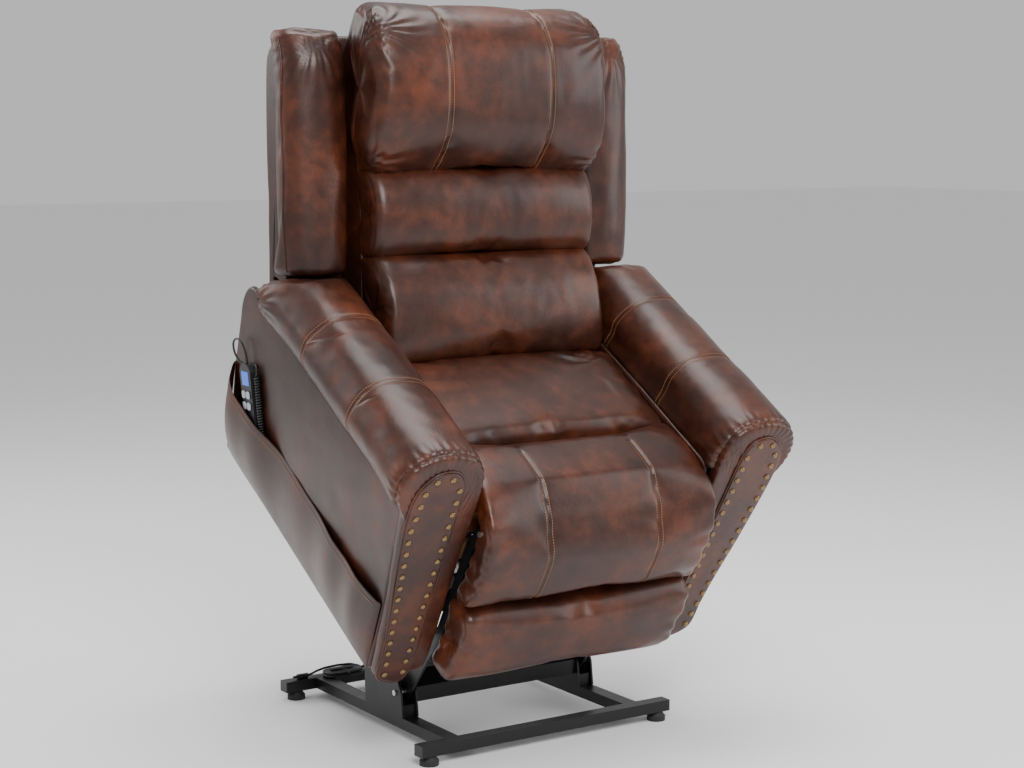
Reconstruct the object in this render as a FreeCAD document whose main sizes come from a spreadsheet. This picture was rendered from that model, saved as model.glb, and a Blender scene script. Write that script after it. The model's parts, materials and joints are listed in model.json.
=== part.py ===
import FreeCAD, Part
import math
import os
import Sketcher
from FreeCAD import Placement, Rotation, Vector

# Lift recliner chair, shown with the seat raised and tipped forward on its base.
# Row frame: +Z up, the chair faces -Y, X = 0 is its plane of symmetry and Z = 0 is the floor.
# Base pieces are measured from the front feet.  Seat pieces are measured in the seat frame,
# (x, b, u): b runs back from the arm fronts and u runs up from the bottom of the arms.  Backrest
# pieces are measured in the back frame, (x, d, v): v runs up the backrest and d runs rearwards.

doc = FreeCAD.newDocument("lift_recliner_chair")

SIZES = {
    # Row frame and the raised pose
    "base_y": -216.0,
    "seat_y": 40.0,
    "seat_z": 188.0,
    "lift_tilt": 30.5,
    "back_b": 419.0,
    "back_u": 448.0,
    "back_lean": 31.0,
    # Base of rectangular tube
    "front_half": 311.0,
    "rear_half": 317.0,
    "rear_tube_y": 579.0,
    "tube_depth": 30.0,
    "tube_height": 24.0,
    "tube_wall": 2.0,
    "tube_bottom": 20.0,
    "rail_x": 227.0,
    "rail_width": 34.0,
    "foot_x": 288.0,
    "foot_radius": 20.0,
    "foot_height": 17.0,
    "plate_thickness": 4.0,
    "tower_inner_x": 209.0,
    "tower_outer_x": 245.0,
    # Lift linkage: pivots on the towers and on the seat mechanism
    "arm_pivot_y": 205.0,
    "arm_pivot_z": 95.0,
    "link_pivot_y": 310.0,
    "link_pivot_z": 149.5,
    "arm_seat_b": 62.0,
    "arm_seat_u": 27.0,
    "link_seat_b": 151.0,
    "link_seat_u": 40.0,
    "arm_width": 34.0,
    "link_width": 26.0,
    "bar_thickness": 6.0,
    "pin_radius": 6.0,
    "pin_clearance": 0.06,
    # Seat mechanism
    "plate_x": 258.0,
    "cross_tube": 30.0,
    "hinge_b": 560.0,
    "hinge_u": 230.0,
    "leg_hinge_b": -25.0,
    "leg_hinge_u": 378.0,
    # Arms and upholstery
    "arm_inner_x": 279.0,
    "arm_outer_x": 397.0,
    "arm_flare": 6.0,
    "arm_length": 750.0,
    "panel_thickness": 12.0,
    "seat_width": 536.0,
    "leg_width": 522.0,
    "back_width": 546.0,
    "headrest_width": 566.0,
    "board_thickness": 12.0,
    "wing_inner_x": 293.0,
    "wing_outer_x": 427.0,
    "shell_x": 400.0,
    "nail_radius": 6.5,
    "nail_height": 3.6,
    "nail_count": 17,
    # Handset and leads
    "handset_length": 150.0,
    "handset_width": 55.0,
    "handset_depth": 21.0,
    "button_travel": 1.2,
    "lead_diameter": 4.6,
    "curly_diameter": 14.5,
    "power_diameter": 5.6,
}

sheet = doc.addObject("Spreadsheet::Sheet", "Sizes")
for row, (alias, value) in enumerate(SIZES.items(), start=1):
    sheet.set(f"A{row}", alias)
    sheet.set(f"B{row}", str(value))
    sheet.setAlias(f"B{row}", alias)
doc.recompute()

nodes = []
SIDES = ((-1, "left"), (1, "right"))


def size(alias):
    """A driving dimension read back from the sheet."""
    return float(sheet.get(alias))


def value_of(item):
    """The number behind a plain number or behind an expression on the sheet."""
    if isinstance(item, str):
        return float(sheet.evalExpression(item))
    return float(item)


def bind(target, field, item):
    """Give a property its number, or its expression on the sheet."""
    if isinstance(item, str):
        target.setExpression(field, item)
    else:
        setattr(target, field, item)


def keep(part, label):
    """Name a finished piece and add it to the pieces that are written out."""
    part.Label = label
    nodes.append(part)
    return part


def turned(x, y, z, angle=0.0, axis=(1, 0, 0)):
    return Placement(Vector(x, y, z), Rotation(Vector(*axis), angle))


BASE = turned(0, size("base_y"), 0)
SEAT = turned(0, size("base_y") + size("seat_y"), size("seat_z"), size("lift_tilt"))
BACK = SEAT.multiply(turned(0, size("back_b"), size("back_u"), -size("back_lean")))


def panel_frame(side):
    """The seat frame moved to an outer side panel and leant outwards with it."""
    return SEAT.multiply(turned(side * size("arm_outer_x"), 0, 0, side * size("arm_flare"), (0, 1, 0)))


def back_point(d, v):
    """A point of the back frame as (b, u) in the seat frame."""
    lean = math.radians(size("back_lean"))
    b = size("back_b") + d * math.cos(lean) + v * math.sin(lean)
    u = size("back_u") - d * math.sin(lean) + v * math.cos(lean)
    return b, u


# ---------------------------------------------------------------- shapes used by many pieces


def draw_loop(sketch, points):
    """A closed outline of straight lines whose corners are dimensioned from the origin."""
    first = sketch.GeometryCount
    count = len(points)
    corners = [Vector(value_of(a), value_of(b), 0) for a, b in points]
    for i in range(count):
        sketch.addGeometry(Part.LineSegment(corners[i], corners[(i + 1) % count]), False)
    for i in range(count):
        sketch.addConstraint(Sketcher.Constraint("Coincident", first + i, 2, first + (i + 1) % count, 1))
    for i, point in enumerate(points):
        for kind, axis, item in (("DistanceX", -2, point[0]), ("DistanceY", -1, point[1])):
            distance = value_of(item)
            if abs(distance) < 1e-6:
                sketch.addConstraint(Sketcher.Constraint("PointOnObject", first + i, 1, axis))
                continue
            number = sketch.addConstraint(
                Sketcher.Constraint(kind, -1, 1, first + i, 1, distance))
            if isinstance(item, str):
                sketch.setExpression(f"Constraints[{number}]", item)


def attached_sketch(body, name, plane):
    sketch = body.newObject("Sketcher::SketchObject", name)
    origin_plane = [f for f in body.Origin.OriginFeatures if f.Role == plane][0]
    sketch.AttachmentSupport = [(origin_plane, "")]
    sketch.MapMode = "FlatFace"
    return sketch


PLANE_AXES = {"YZ_Plane": (1, 2), "XZ_Plane": (0, 2), "XY_Plane": (0, 1)}


def corner_edges(shape, plane, corners):
    """Names of the long edges that a pad raises from the given outline corners."""
    first, second = PLANE_AXES[plane]
    found = []
    for number, edge in enumerate(shape.Edges, start=1):
        start, end = edge.Vertexes[0].Point, edge.Vertexes[-1].Point
        for a, b in corners:
            if all(math.hypot(p[first] - a, p[second] - b) < 0.05 for p in (start, end)):
                found.append(f"Edge{number}")
    return found


def padded(label, plane, points, length, place, holes=(), rounds=None, symmetric=False, keep_it=True):
    """A body padded from a closed outline, with any hole outlines and rounded long edges.

    rounds maps a radius to the numbers of the outline corners that have it.
    """
    body = doc.addObject("PartDesign::Body", label)
    sketch = attached_sketch(body, label + "_outline", plane)
    draw_loop(sketch, points)
    for hole in holes:
        if len(hole) == 3:
            centre = Vector(value_of(hole[0]), value_of(hole[1]), 0)
            circle = Part.Circle(centre, Vector(0, 0, 1), value_of(hole[2]))
            sketch.addGeometry(circle, False)
        else:
            draw_loop(sketch, hole)
    pad = body.newObject("PartDesign::Pad", label + "_pad")
    pad.Profile = sketch
    bind(pad, "Length", length)
    pad.Midplane = symmetric
    sketch.Visibility = False
    doc.recompute()
    for radius, numbers in (rounds or {}).items():
        corners = [(value_of(points[i][0]), value_of(points[i][1])) for i in numbers]
        base = body.Tip
        fillet = body.newObject("PartDesign::Fillet", f"{label}_round_{radius}")
        fillet.Base = (base, corner_edges(base.Shape, plane, corners))
        fillet.Radius = radius
        doc.recompute()
    body.Placement = place
    return keep(body, label) if keep_it else body


def rectangle(left, low, right, high):
    return [(left, low), (right, low), (right, high), (left, high)]


def box(label, length, width, height, place, keep_it=False):
    part = doc.addObject("Part::Box", label)
    bind(part, "Length", length)
    bind(part, "Width", width)
    bind(part, "Height", height)
    part.Placement = place
    return keep(part, label) if keep_it else part


def rod(label, radius, length, place):
    """A round bar that starts at its place and runs along the local Z axis."""
    part = doc.addObject("Part::Cylinder", label)
    bind(part, "Radius", radius)
    bind(part, "Height", length)
    part.Placement = place
    return part


def cross_pin(label, frame, x_start, b, u, radius, length):
    """A round bar that runs along +X from x_start."""
    return rod(label, radius, length, frame.multiply(turned(x_start, b, u, 90, (0, 1, 0))))


def cut(label, base, tool, keep_it=False):
    part = doc.addObject("Part::Cut", label)
    part.Base = base
    part.Tool = tool
    doc.recompute()
    return keep(part, label) if keep_it else part


def fused(label, parts):
    part = doc.addObject("Part::MultiFuse", label)
    part.Shapes = parts
    doc.recompute()
    return keep(part, label)


def group(label, parts):
    """Identical or paired pieces that share one node as separate solids."""
    part = doc.addObject("Part::Compound", label)
    part.Links = parts
    doc.recompute()
    return keep(part, label)


def solid_feature(label, shape, place):
    part = doc.addObject("Part::Feature", label)
    part.Shape = shape
    part.Placement = place
    return keep(part, label)


# ---------------------------------------------------------------- base frame
# Two cross tubes and two side rails of black rectangular steel tube, butt welded, with plastic
# plugs in the open ends and four round glides on the floor.

TOP = "Sizes.tube_bottom + Sizes.tube_height"


def tube_section(centre, width):
    """Outer and inner outlines of a rectangular tube standing on tube_bottom."""
    outer = rectangle(f"{centre} - {width} / 2", "Sizes.tube_bottom", f"{centre} + {width} / 2", TOP)
    inner = rectangle(f"{centre} - {width} / 2 + Sizes.tube_wall", "Sizes.tube_bottom + Sizes.tube_wall",
                      f"{centre} + {width} / 2 - Sizes.tube_wall", f"{TOP} - Sizes.tube_wall")
    return outer, inner


outer, inner = tube_section("0", "Sizes.tube_depth")
padded("base_front_tube", "YZ_Plane", outer, "Sizes.front_half * 2", BASE, [inner], symmetric=True)
outer, inner = tube_section("Sizes.rear_tube_y", "Sizes.tube_depth")
rear_tube = padded("rear_tube_stock", "YZ_Plane", outer, "Sizes.rear_half * 2", BASE, [inner],
                   symmetric=True, keep_it=False)

rail_start = size("tube_depth") / 2
side_rails = []
for side, name in SIDES:
    outer, inner = tube_section("0", "Sizes.rail_width")
    side_rails.append(padded(f"base_side_rail_{name}", "XZ_Plane", outer,
                             "Sizes.rear_tube_y - Sizes.tube_depth",
                             BASE.multiply(turned(side * size("rail_x"), size("rear_tube_y") - rail_start, 0)),
                             [inner], keep_it=False))
group("base_side_rails", side_rails)

plugs = []
for y, half in ((0.0, "front_half"), (size("rear_tube_y"), "rear_half")):
    for side in (-1, 1):
        tag = f"{half}_{'right' if side > 0 else 'left'}"
        wall = size("tube_wall")
        plug_length = 14.0
        cover_length = 3.0
        inside = box(f"plug_{tag}", plug_length, "Sizes.tube_depth - 2 * Sizes.tube_wall",
                     "Sizes.tube_height - 2 * Sizes.tube_wall",
                     BASE.multiply(turned(side * size(half) - (plug_length if side > 0 else 0),
                                          y - rail_start + wall, size("tube_bottom") + wall)))
        cover = box(f"cover_{tag}", cover_length, "Sizes.tube_depth", "Sizes.tube_height",
                    BASE.multiply(turned(side * size(half) - (0 if side > 0 else cover_length),
                                         y - rail_start, size("tube_bottom"))))
        joined = doc.addObject("Part::Fuse", f"end_{tag}")
        joined.Base = inside
        joined.Tool = cover
        plugs.append(joined)
group("base_tube_caps", plugs)

feet = []
for y in (0.0, size("rear_tube_y")):
    for side in (-1, 1):
        tag = f"{'front' if y == 0 else 'rear'}_{'right' if side > 0 else 'left'}"
        pad_disc = rod(f"foot_pad_{tag}", "Sizes.foot_radius", 10.0,
                       BASE.multiply(turned(side * size("foot_x"), y, 0)))
        neck = doc.addObject("Part::Cone", f"foot_neck_{tag}")
        bind(neck, "Radius1", "Sizes.foot_radius")
        neck.Radius2 = 12.0
        bind(neck, "Height", "Sizes.tube_bottom - 10")
        neck.Placement = BASE.multiply(turned(side * size("foot_x"), y, 10))
        foot = doc.addObject("Part::Fuse", f"foot_{tag}")
        foot.Base = pad_disc
        foot.Tool = neck
        feet.append(foot)
group("base_feet", feet)

# ---------------------------------------------------------------- lift towers
# A pair of steel plates stands on each side rail, welded across by a low web in front.  The lift
# arm and the rear link turn between the plates.

TOWER = [(176, TOP), (334, TOP), (338, 152), (322, 172), (292, 168), (196, 122), (183, 98)]


def tower(name, side):
    """The two plates and the front web of one tower."""
    plates = []
    gap = "Sizes.tower_outer_x - Sizes.tower_inner_x"
    for edge, position in (("inner", "tower_inner_x"), ("outer", "tower_outer_x")):
        centre = side * size(position)
        holes = [("Sizes.arm_pivot_y", "Sizes.arm_pivot_z", "Sizes.pin_radius"),
                 ("Sizes.link_pivot_y", "Sizes.link_pivot_z", "Sizes.pin_radius")]
        plates.append(padded(f"tower_plate_{edge}_{name}", "YZ_Plane", TOWER, "Sizes.plate_thickness",
                             BASE.multiply(turned(centre, 0, 0)), holes, symmetric=True, keep_it=False))
    web_x = size("tower_inner_x") if side > 0 else -size("tower_outer_x")
    web = box(f"tower_web_{name}", gap, "Sizes.plate_thickness", 26.0,
              BASE.multiply(turned(web_x, 184, size("tube_bottom") + size("tube_height"))))
    return plates + [web]


# A bent cross bar, with an upright flange and a sloping one, is welded between the two towers.
bar_half = size("tower_inner_x") - size("plate_thickness") / 2
cross_bar = padded("tower_cross_bar", "YZ_Plane",
                   [(190, 72), (194, 72), (194, 102), (222, 132), (219, 135), (190, 104)],
                   bar_half * 2, BASE, symmetric=True, keep_it=False)
fused("lift_towers", tower("left", -1) + tower("right", 1) + [cross_bar])

# ---------------------------------------------------------------- lift arms and rear links
# Flat steel bars with round ends.  A torsion tube joins the two lift arms.


def flat_bar(label, start, end, width, x_centre, frame):
    """A bar with two round ends and two holes, from start to end in the frame's YZ plane."""
    thickness = size("bar_thickness")
    run = Vector(0, end[0] - start[0], end[1] - start[1])
    angle = math.degrees(math.atan2(run.z, run.y))
    place = frame.multiply(turned(x_centre - thickness / 2, start[0], start[1], angle))
    web = box(f"{label}_web", "Sizes.bar_thickness", run.Length, width,
              place.multiply(turned(0, 0, -value_of(width) / 2)))
    ends = [cross_pin(f"{label}_end_{i}", place, 0, i * run.Length, 0, f"{width} / 2", "Sizes.bar_thickness")
            for i in (0, 1)]
    whole = doc.addObject("Part::MultiFuse", f"{label}_blank")
    whole.Shapes = [web] + ends
    holes = [cross_pin(f"{label}_hole_{i}", place, -1, i * run.Length, 0,
                       "Sizes.pin_radius + Sizes.pin_clearance", "Sizes.bar_thickness + 2") for i in (0, 1)]
    tool = doc.addObject("Part::Compound", f"{label}_holes")
    tool.Links = holes
    return cut(f"{label}_bar", whole, tool), place, run.Length


def seat_point(b, u):
    """A seat frame point as (y, z) measured from the front feet."""
    place = SEAT.multVec(Vector(0, b, u))
    return place.y - size("base_y"), place.z


ARM_X = 222.0
LINK_X = 234.0
arm_end = seat_point(size("arm_seat_b"), size("arm_seat_u"))
link_end = seat_point(size("link_seat_b"), size("link_seat_u"))

arm_bars = []
for side, name in SIDES:
    bar, place, length = flat_bar(f"lift_arm_{name}", (size("arm_pivot_y"), size("arm_pivot_z")), arm_end,
                                  "Sizes.arm_width", side * ARM_X, BASE)
    arm_bars.append(bar)
half = ARM_X - size("bar_thickness") / 2
torsion = cross_pin("lift_arm_torsion_tube", place, -half - (ARM_X - size("bar_thickness") / 2),
                    length * 0.55, 0, 14.0, half * 2)
fused("lift_arm_frame", arm_bars + [torsion])

rear_links = []
for side, name in SIDES:
    bar, _, _ = flat_bar(f"rear_link_{name}", (size("link_pivot_y"), size("link_pivot_z")), link_end,
                         "Sizes.link_width", side * LINK_X, BASE)
    rear_links.append(bar)
group("rear_links", rear_links)

# Pins across each tower.
tower_pins = []
for side, name in SIDES:
    for pivot in ("arm", "link"):
        x_start = size("tower_inner_x") - 6 if side > 0 else -size("tower_outer_x") - 6
        tower_pins.append(cross_pin(f"tower_pin_{pivot}_{name}", BASE, x_start, size(f"{pivot}_pivot_y"),
                                    size(f"{pivot}_pivot_z"), "Sizes.pin_radius", 48.0))
group("tower_pins", tower_pins)

# ---------------------------------------------------------------- seat mechanism
# Steel side plates carry the seat.  They turn on the lift arms, and cross tubes join them.

MECHANISM = [(40, 14), (190, 14), (250, 60), (470, 150), (575, 205), (585, 245), (545, 255), (300, 196),
             (60, 138), (40, 120)]
for side, name in SIDES:
    padded(f"mechanism_plate_{name}", "YZ_Plane", MECHANISM, "Sizes.plate_thickness",
           SEAT.multiply(turned(side * (size("plate_x") + size("plate_thickness") / 2), 0, 0)), symmetric=True)



def cross_tube(label, b, u):
    """A square tube from one side plate to the other."""
    reach = size("cross_tube") / 2
    wall = size("tube_wall")
    outside = rectangle(b - reach, u - reach, b + reach, u + reach)
    inside = rectangle(b - reach + wall, u - reach + wall, b + reach - wall, u + reach - wall)
    return padded(label, "YZ_Plane", outside, "Sizes.plate_x * 2", SEAT, [inside], symmetric=True,
                  keep_it=False)


front_tube = cross_tube("front_tube_stock", 70.0, 115.0)
middle_tube = cross_tube("middle_tube_stock", 300.0, 175.0)

# The lift arms are pinned to the plates.  The rear links end beside the plates with no pin, since
# their circle and the plates' path part by a few millimetres in mid travel.
chair_pins = []
for side, name in SIDES:
    start = ARM_X - 6
    x_start = start if side > 0 else -size("plate_x")
    chair_pins.append(cross_pin(f"seat_pin_{name}", SEAT, x_start, size("arm_seat_b"), size("arm_seat_u"),
                                "Sizes.pin_radius", size("plate_x") - start))

# ---------------------------------------------------------------- linear actuators
# A gearbox with its motor alongside, a screw tube and a chromed rod with a flat eye.


def along(frame, x, start, end):
    """A frame at start whose local Z axis points at end, both as (b, u)."""
    angle = math.degrees(math.atan2(end[1] - start[1], end[0] - start[0]))
    length = math.hypot(end[0] - start[0], end[1] - start[1])
    return frame.multiply(turned(x, start[0], start[1], angle - 90)), length


def actuator(label, frame, x, start, end, closed, motor_side):
    place, length = along(frame, x, start, end)
    tube_end = closed - 30.0
    gear = box(f"{label}_gearbox", 48.0, 34.0, 46.0, place.multiply(turned(-24, -17, 0)))
    heel = cross_pin(f"{label}_heel", place, -24, 0, 0, 17.0, 48.0)
    motor = rod(f"{label}_motor", 21.0, 110.0, place.multiply(turned(0, motor_side * 39, 20)))
    throat = box(f"{label}_throat", 36.0, 24.0, 26.0,
                 place.multiply(turned(-18, 12 if motor_side > 0 else -36, 20)))
    tube = rod(f"{label}_tube", 15.0, tube_end - 40.0, place.multiply(turned(0, 0, 40)))
    whole = doc.addObject("Part::MultiFuse", f"{label}_unit_blank")
    whole.Shapes = [gear, heel, motor, throat, tube]
    bore = rod(f"{label}_bore", 9.5, tube_end, place.multiply(turned(0, 0, 60)))
    pivot = cross_pin(f"{label}_pivot_bore", place, -40, 0, 0, "Sizes.pin_radius + Sizes.pin_clearance", 80.0)
    tools = doc.addObject("Part::Compound", f"{label}_bores")
    tools.Links = [bore, pivot]
    cut(f"{label}_actuator", whole, tools, keep_it=True)
    rod_start = 66.0 + length - closed
    bar = rod(f"{label}_rod_bar", 9.0, length - rod_start - 12.0, place.multiply(turned(0, 0, rod_start)))
    eye = cross_pin(f"{label}_rod_eye", place, -7, 0, length, 15.0, 14.0)
    joined = doc.addObject("Part::MultiFuse", f"{label}_rod_blank")
    joined.Shapes = [bar, eye]
    hole = rod(f"{label}_rod_hole", "Sizes.pin_radius + 2", 20.0,
               place.multiply(turned(-10, 0, length, 90, (0, 1, 0))))
    cut(f"{label}_rod", joined, hole, keep_it=True)


LIFT_BASE = (575.0, 62.0)
LIFT_SEAT = (300.0, 112.0)
RECLINE_X = -110.0
RECLINE_BASE = (115.0, 95.0)
RECLINE_END = (540.0, 120.0)
LEG_X = 110.0
LEG_BASE = (300.0, 125.0)
LEG_END = (28.0, 256.0)
actuator("lift", BASE, 0.0, LIFT_BASE, seat_point(*LIFT_SEAT), 343.0, 1)
actuator("recline", SEAT, RECLINE_X, RECLINE_BASE, RECLINE_END, 369.0, -1)
actuator("legrest", SEAT, LEG_X, LEG_BASE, LEG_END, 301.0, -1)


def cheeks(label, frame, x, gap, outline):
    """Two bracket plates with a gap between them, as one node."""
    plates = []
    for side in (-1, 1):
        plates.append(padded(f"{label}_{'right' if side > 0 else 'left'}", "YZ_Plane", outline,
                             "Sizes.plate_thickness",
                             frame.multiply(turned(x + side * (gap / 2 + 2), 0, 0)), symmetric=True,
                             keep_it=False))
    return plates


def pivot_block(label, frame, x, outline, centre):
    """Bracket plates either side of a gearbox, with the pin they hold."""
    plates = cheeks(label, frame, x, 49.0, outline)
    pin = cross_pin(f"{label}_pin", frame, x - 30, centre[0], centre[1], "Sizes.pin_radius", 60.0)
    return plates + [pin]


rear_y = size("rear_tube_y")
lift_bracket = pivot_block("lift_bracket", BASE, 0.0,
                           [(rear_y - 15, TOP), (rear_y + 15, TOP), (rear_y + 12, 72), (564, 76), (560, 60)],
                           LIFT_BASE)
fused("base_rear_tube", [rear_tube] + lift_bracket)
recline_bracket = pivot_block("recline_bracket", SEAT, RECLINE_X,
                              [(85, 100), (85, 128), (100, 128), (126, 104), (126, 86), (104, 84)],
                              RECLINE_BASE)
fused("mechanism_front_tube", [front_tube] + recline_bracket)
legrest_bracket = pivot_block("legrest_bracket", SEAT, LEG_X,
                              [(285, 160), (315, 160), (312, 120), (304, 113), (296, 113), (288, 120)],
                              LEG_BASE)
lift_lugs = cheeks("lift_lug", SEAT, 0.0, 20.0, [(287, 160), (313, 160), (313, 92), (287, 92)])
fused("mechanism_middle_tube", [middle_tube] + legrest_bracket + lift_lugs)

# ---------------------------------------------------------------- seat frame, springs and cushion
# Hardwood rails, sinuous springs between the front and rear rails, and a foam seat on top.

RAIL_LOW = 276.0
RAIL_HIGH = 316.0
rails = []
for side, name in SIDES:
    x = 264.0 if side > 0 else -278.0
    rails.append(box(f"seat_rail_{name}", 14.0, 528.0, RAIL_HIGH - RAIL_LOW,
                     SEAT.multiply(turned(x, 20, RAIL_LOW))))
for label, b in (("seat_front_rail", 20.0), ("seat_rear_rail", 500.0)):
    rails.append(box(label, 528.0, 18.0, RAIL_HIGH - RAIL_LOW, SEAT.multiply(turned(-264, b, RAIL_LOW))))
fused("seat_frame", rails)


def spring_wire(x):
    """A flat zigzag wire from rail to rail, its bends half circles."""
    half_run = 20.0
    bend = 9.0
    wire_radius = 1.8
    level = RAIL_HIGH + wire_radius + 0.1
    edges = []
    b = 26.0
    side = 1
    while b < 500.0:
        start = Vector(x - side * half_run, b, level)
        end = Vector(x + side * half_run, b, level)
        edges.append(Part.LineSegment(start, end).toShape())
        turn_end = Vector(end.x, b + 2 * bend, level)
        middle = Vector(end.x + side * bend, b + bend, level)
        edges.append(Part.Arc(end, middle, turn_end).toShape())
        b += 2 * bend
        side = -side
    edges.append(Part.LineSegment(turn_end, Vector(turn_end.x + side * 2 * half_run, b, level)).toShape())
    path = Part.Wire(edges)
    circle = Part.Wire([Part.Circle(path.Edges[0].Vertexes[0].Point, Vector(1, 0, 0), wire_radius).toShape()])
    return path.makePipeShell([circle], True, False)


solid_feature("seat_springs", Part.makeCompound([spring_wire(x) for x in (-190, -63, 63, 190)]), SEAT)

padded("seat_cushion", "YZ_Plane", [(176, 322), (500, 322), (503, 388), (424, 438), (300, 446), (176, 436)],
       "Sizes.seat_width", SEAT, rounds={20: [3, 5], 30: [2]}, symmetric=True)
padded("seat_front_pad", "YZ_Plane",
       [(16, 322), (174, 322), (174, 434), (120, 446), (20, 440), (-26, 430), (-26, 418), (16, 418)],
       "Sizes.seat_width - 8", SEAT, rounds={8: [2, 5], 40: [3, 4]}, symmetric=True)

# ---------------------------------------------------------------- arms
# Each arm has an inner panel, an outer padded panel that leans outwards, a front board, a raised
# front panel edged with nails, and a padded roll along the top.

inner_panels = []
for side, name in SIDES:
    inner_x = size("arm_inner_x") if side > 0 else -size("arm_inner_x") - size("board_thickness")
    inner_panels.append(padded(f"arm_inner_panel_{name}", "YZ_Plane",
                               [(16, 60), (560, 60), (590, 300), (590, 452), (16, 452)],
                               "Sizes.board_thickness", SEAT.multiply(turned(inner_x, 0, 0)), keep_it=False))
    frame = panel_frame(side)
    padded(f"side_panel_{name}", "YZ_Plane",
           [(16, 0), ("Sizes.arm_length", 0), (781, 385), (742, 452), (676, 448), (664, 434), (16, 434)],
           "Sizes.panel_thickness",
           frame.multiply(turned(-size("panel_thickness") if side > 0 else 0, 0, 0)),
           rounds={30: [2], 14: [3]})

group("arm_inner_panels", inner_panels)

FRONT_OUTLINE = [(279, 0), (397, 0), (421, 230), (447, 400), (452, 436), (474, 460), (480, 500), (462, 540),
                 (420, 562), (372, 566), (322, 552), (296, 520), (288, 460)]
for side, name in SIDES:
    points = [(side * x, u) for x, u in FRONT_OUTLINE]
    padded(f"arm_front_{name}", "XZ_Plane", points, 24.0, SEAT.multiply(turned(0, 16, 0)))

PANEL_OUTLINE = [(326, 8), (390, 8), (406, 144), (440, 369), (446, 440), (441, 486), (420, 519), (389, 533),
                 (358, 524), (342, 497), (336, 380), (324, 242)]
for side, name in SIDES:
    points = [(side * x, u) for x, u in PANEL_OUTLINE]
    padded(f"arm_front_panel_{name}", "XZ_Plane", points, 8.0, SEAT.multiply(turned(0, -8, 0)))

ROLL_OUTLINE = [(294, 456), (450, 440), (474, 462), (479, 500), (461, 538), (420, 560), (372, 564),
                (322, 550), (298, 518)]
for side, name in SIDES:
    points = [(side * x, u) for x, u in ROLL_OUTLINE]
    long_roll = padded(f"arm_roll_{name}_long", "XZ_Plane", points, 644.0,
                       SEAT.multiply(turned(0, 660, 0)), keep_it=False)
    end = padded(f"arm_roll_{name}_end", "YZ_Plane", [(577, 570), (720, 570), (720, 380), (652, 380), (664, 510)],
                 400.0, SEAT.multiply(turned(side * 400, 0, 0)), symmetric=True, keep_it=False)
    cut(f"arm_roll_{name}", long_roll, end, keep_it=True)


def nail_row(side):
    """Nail centres up the outer edge, over the arched top and down the inner edge."""
    spots = []
    count = int(size("nail_count"))
    for i in range(count):
        share = i / (count - 1)
        u = 19 + share * (486 - 19)
        flare = 380 + 51 * min(1.0, share / 0.8) - 6 * max(0.0, share - 0.8) / 0.2
        inner = 338 + 12 * share
        spots.append((side * flare, u))
        spots.append((side * inner, u))
    spots += [(side * 407, 513), (side * 373, 515)]
    return spots


def nail_dome(x, u, front_b):
    """A low domed nail head that sits on the panel's face."""
    radius = size("nail_radius")
    height = size("nail_height")
    ball_radius = (radius ** 2 + height ** 2) / (2 * height)
    ball = Part.makeSphere(ball_radius, Vector(x, front_b + ball_radius - height, u))
    slab = Part.makeBox(2 * radius, height, 2 * radius, Vector(x - radius, front_b - height, u - radius))
    return ball.common(slab)


for side, name in SIDES:
    domes = [nail_dome(x, u, -16.0) for x, u in nail_row(side)]
    solid_feature(f"nailhead_trim_{name}", Part.makeCompound(domes), SEAT)

# Low rear skirt panel, wider towards the top where the side panels lean out.  The backrest swings over it.
padded("rear_skirt_panel", "XZ_Plane", [(-382, 14), (382, 14), (403, 236), (-403, 236)], 12.0,
       SEAT.multiply(turned(0, 742, 0)))

# ---------------------------------------------------------------- side pocket
# A long leather pouch on the left outer panel, open along its top hem.

LEFT_PANEL = panel_frame(-1)
POCKET = [(24, 4), (746, 4), (762, 236), (716, 208), (560, 192), (60, 188)]
pocket_block = padded("pocket_block", "YZ_Plane", POCKET, 32.0, LEFT_PANEL.multiply(turned(-32, 0, 0)),
                      keep_it=False)
pocket_space = padded("pocket_space", "YZ_Plane",
                      [(28, 9), (742, 9), (758, 300), (28, 300)], 28.0,
                      LEFT_PANEL.multiply(turned(-28, 0, 0)), keep_it=False)
cut("side_pocket", pocket_block, pocket_space, keep_it=True)

# ---------------------------------------------------------------- legrest
# Two pads on plywood boards swing up about pins beside the seat's front edge.

LEG = SEAT
hinge = ("Sizes.leg_hinge_b", "Sizes.leg_hinge_u")
padded("legrest_board", "YZ_Plane", rectangle(-14, 30, -6, 330), "Sizes.leg_width - 40", LEG, symmetric=True)
padded("legrest_upper_pad", "YZ_Plane",
       [(-14.5, 212), (-14.5, 334), (4, 352), (12, 378), (2, 404), (-25, 415), (-52, 404), (-61, 378),
        (-64, 300), (-62, 214)],
       "Sizes.leg_width", LEG, rounds={10: [2, 4, 6]}, symmetric=True)
padded("legrest_lower_pad", "YZ_Plane",
       [(-14.5, 34), (-14.5, 208), (-60, 208), (-82, 180), (-86, 66), (-66, 26), (-34, 20)],
       "Sizes.leg_width", LEG, rounds={16: [2, 3, 5], 10: [4]}, symmetric=True)

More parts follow.
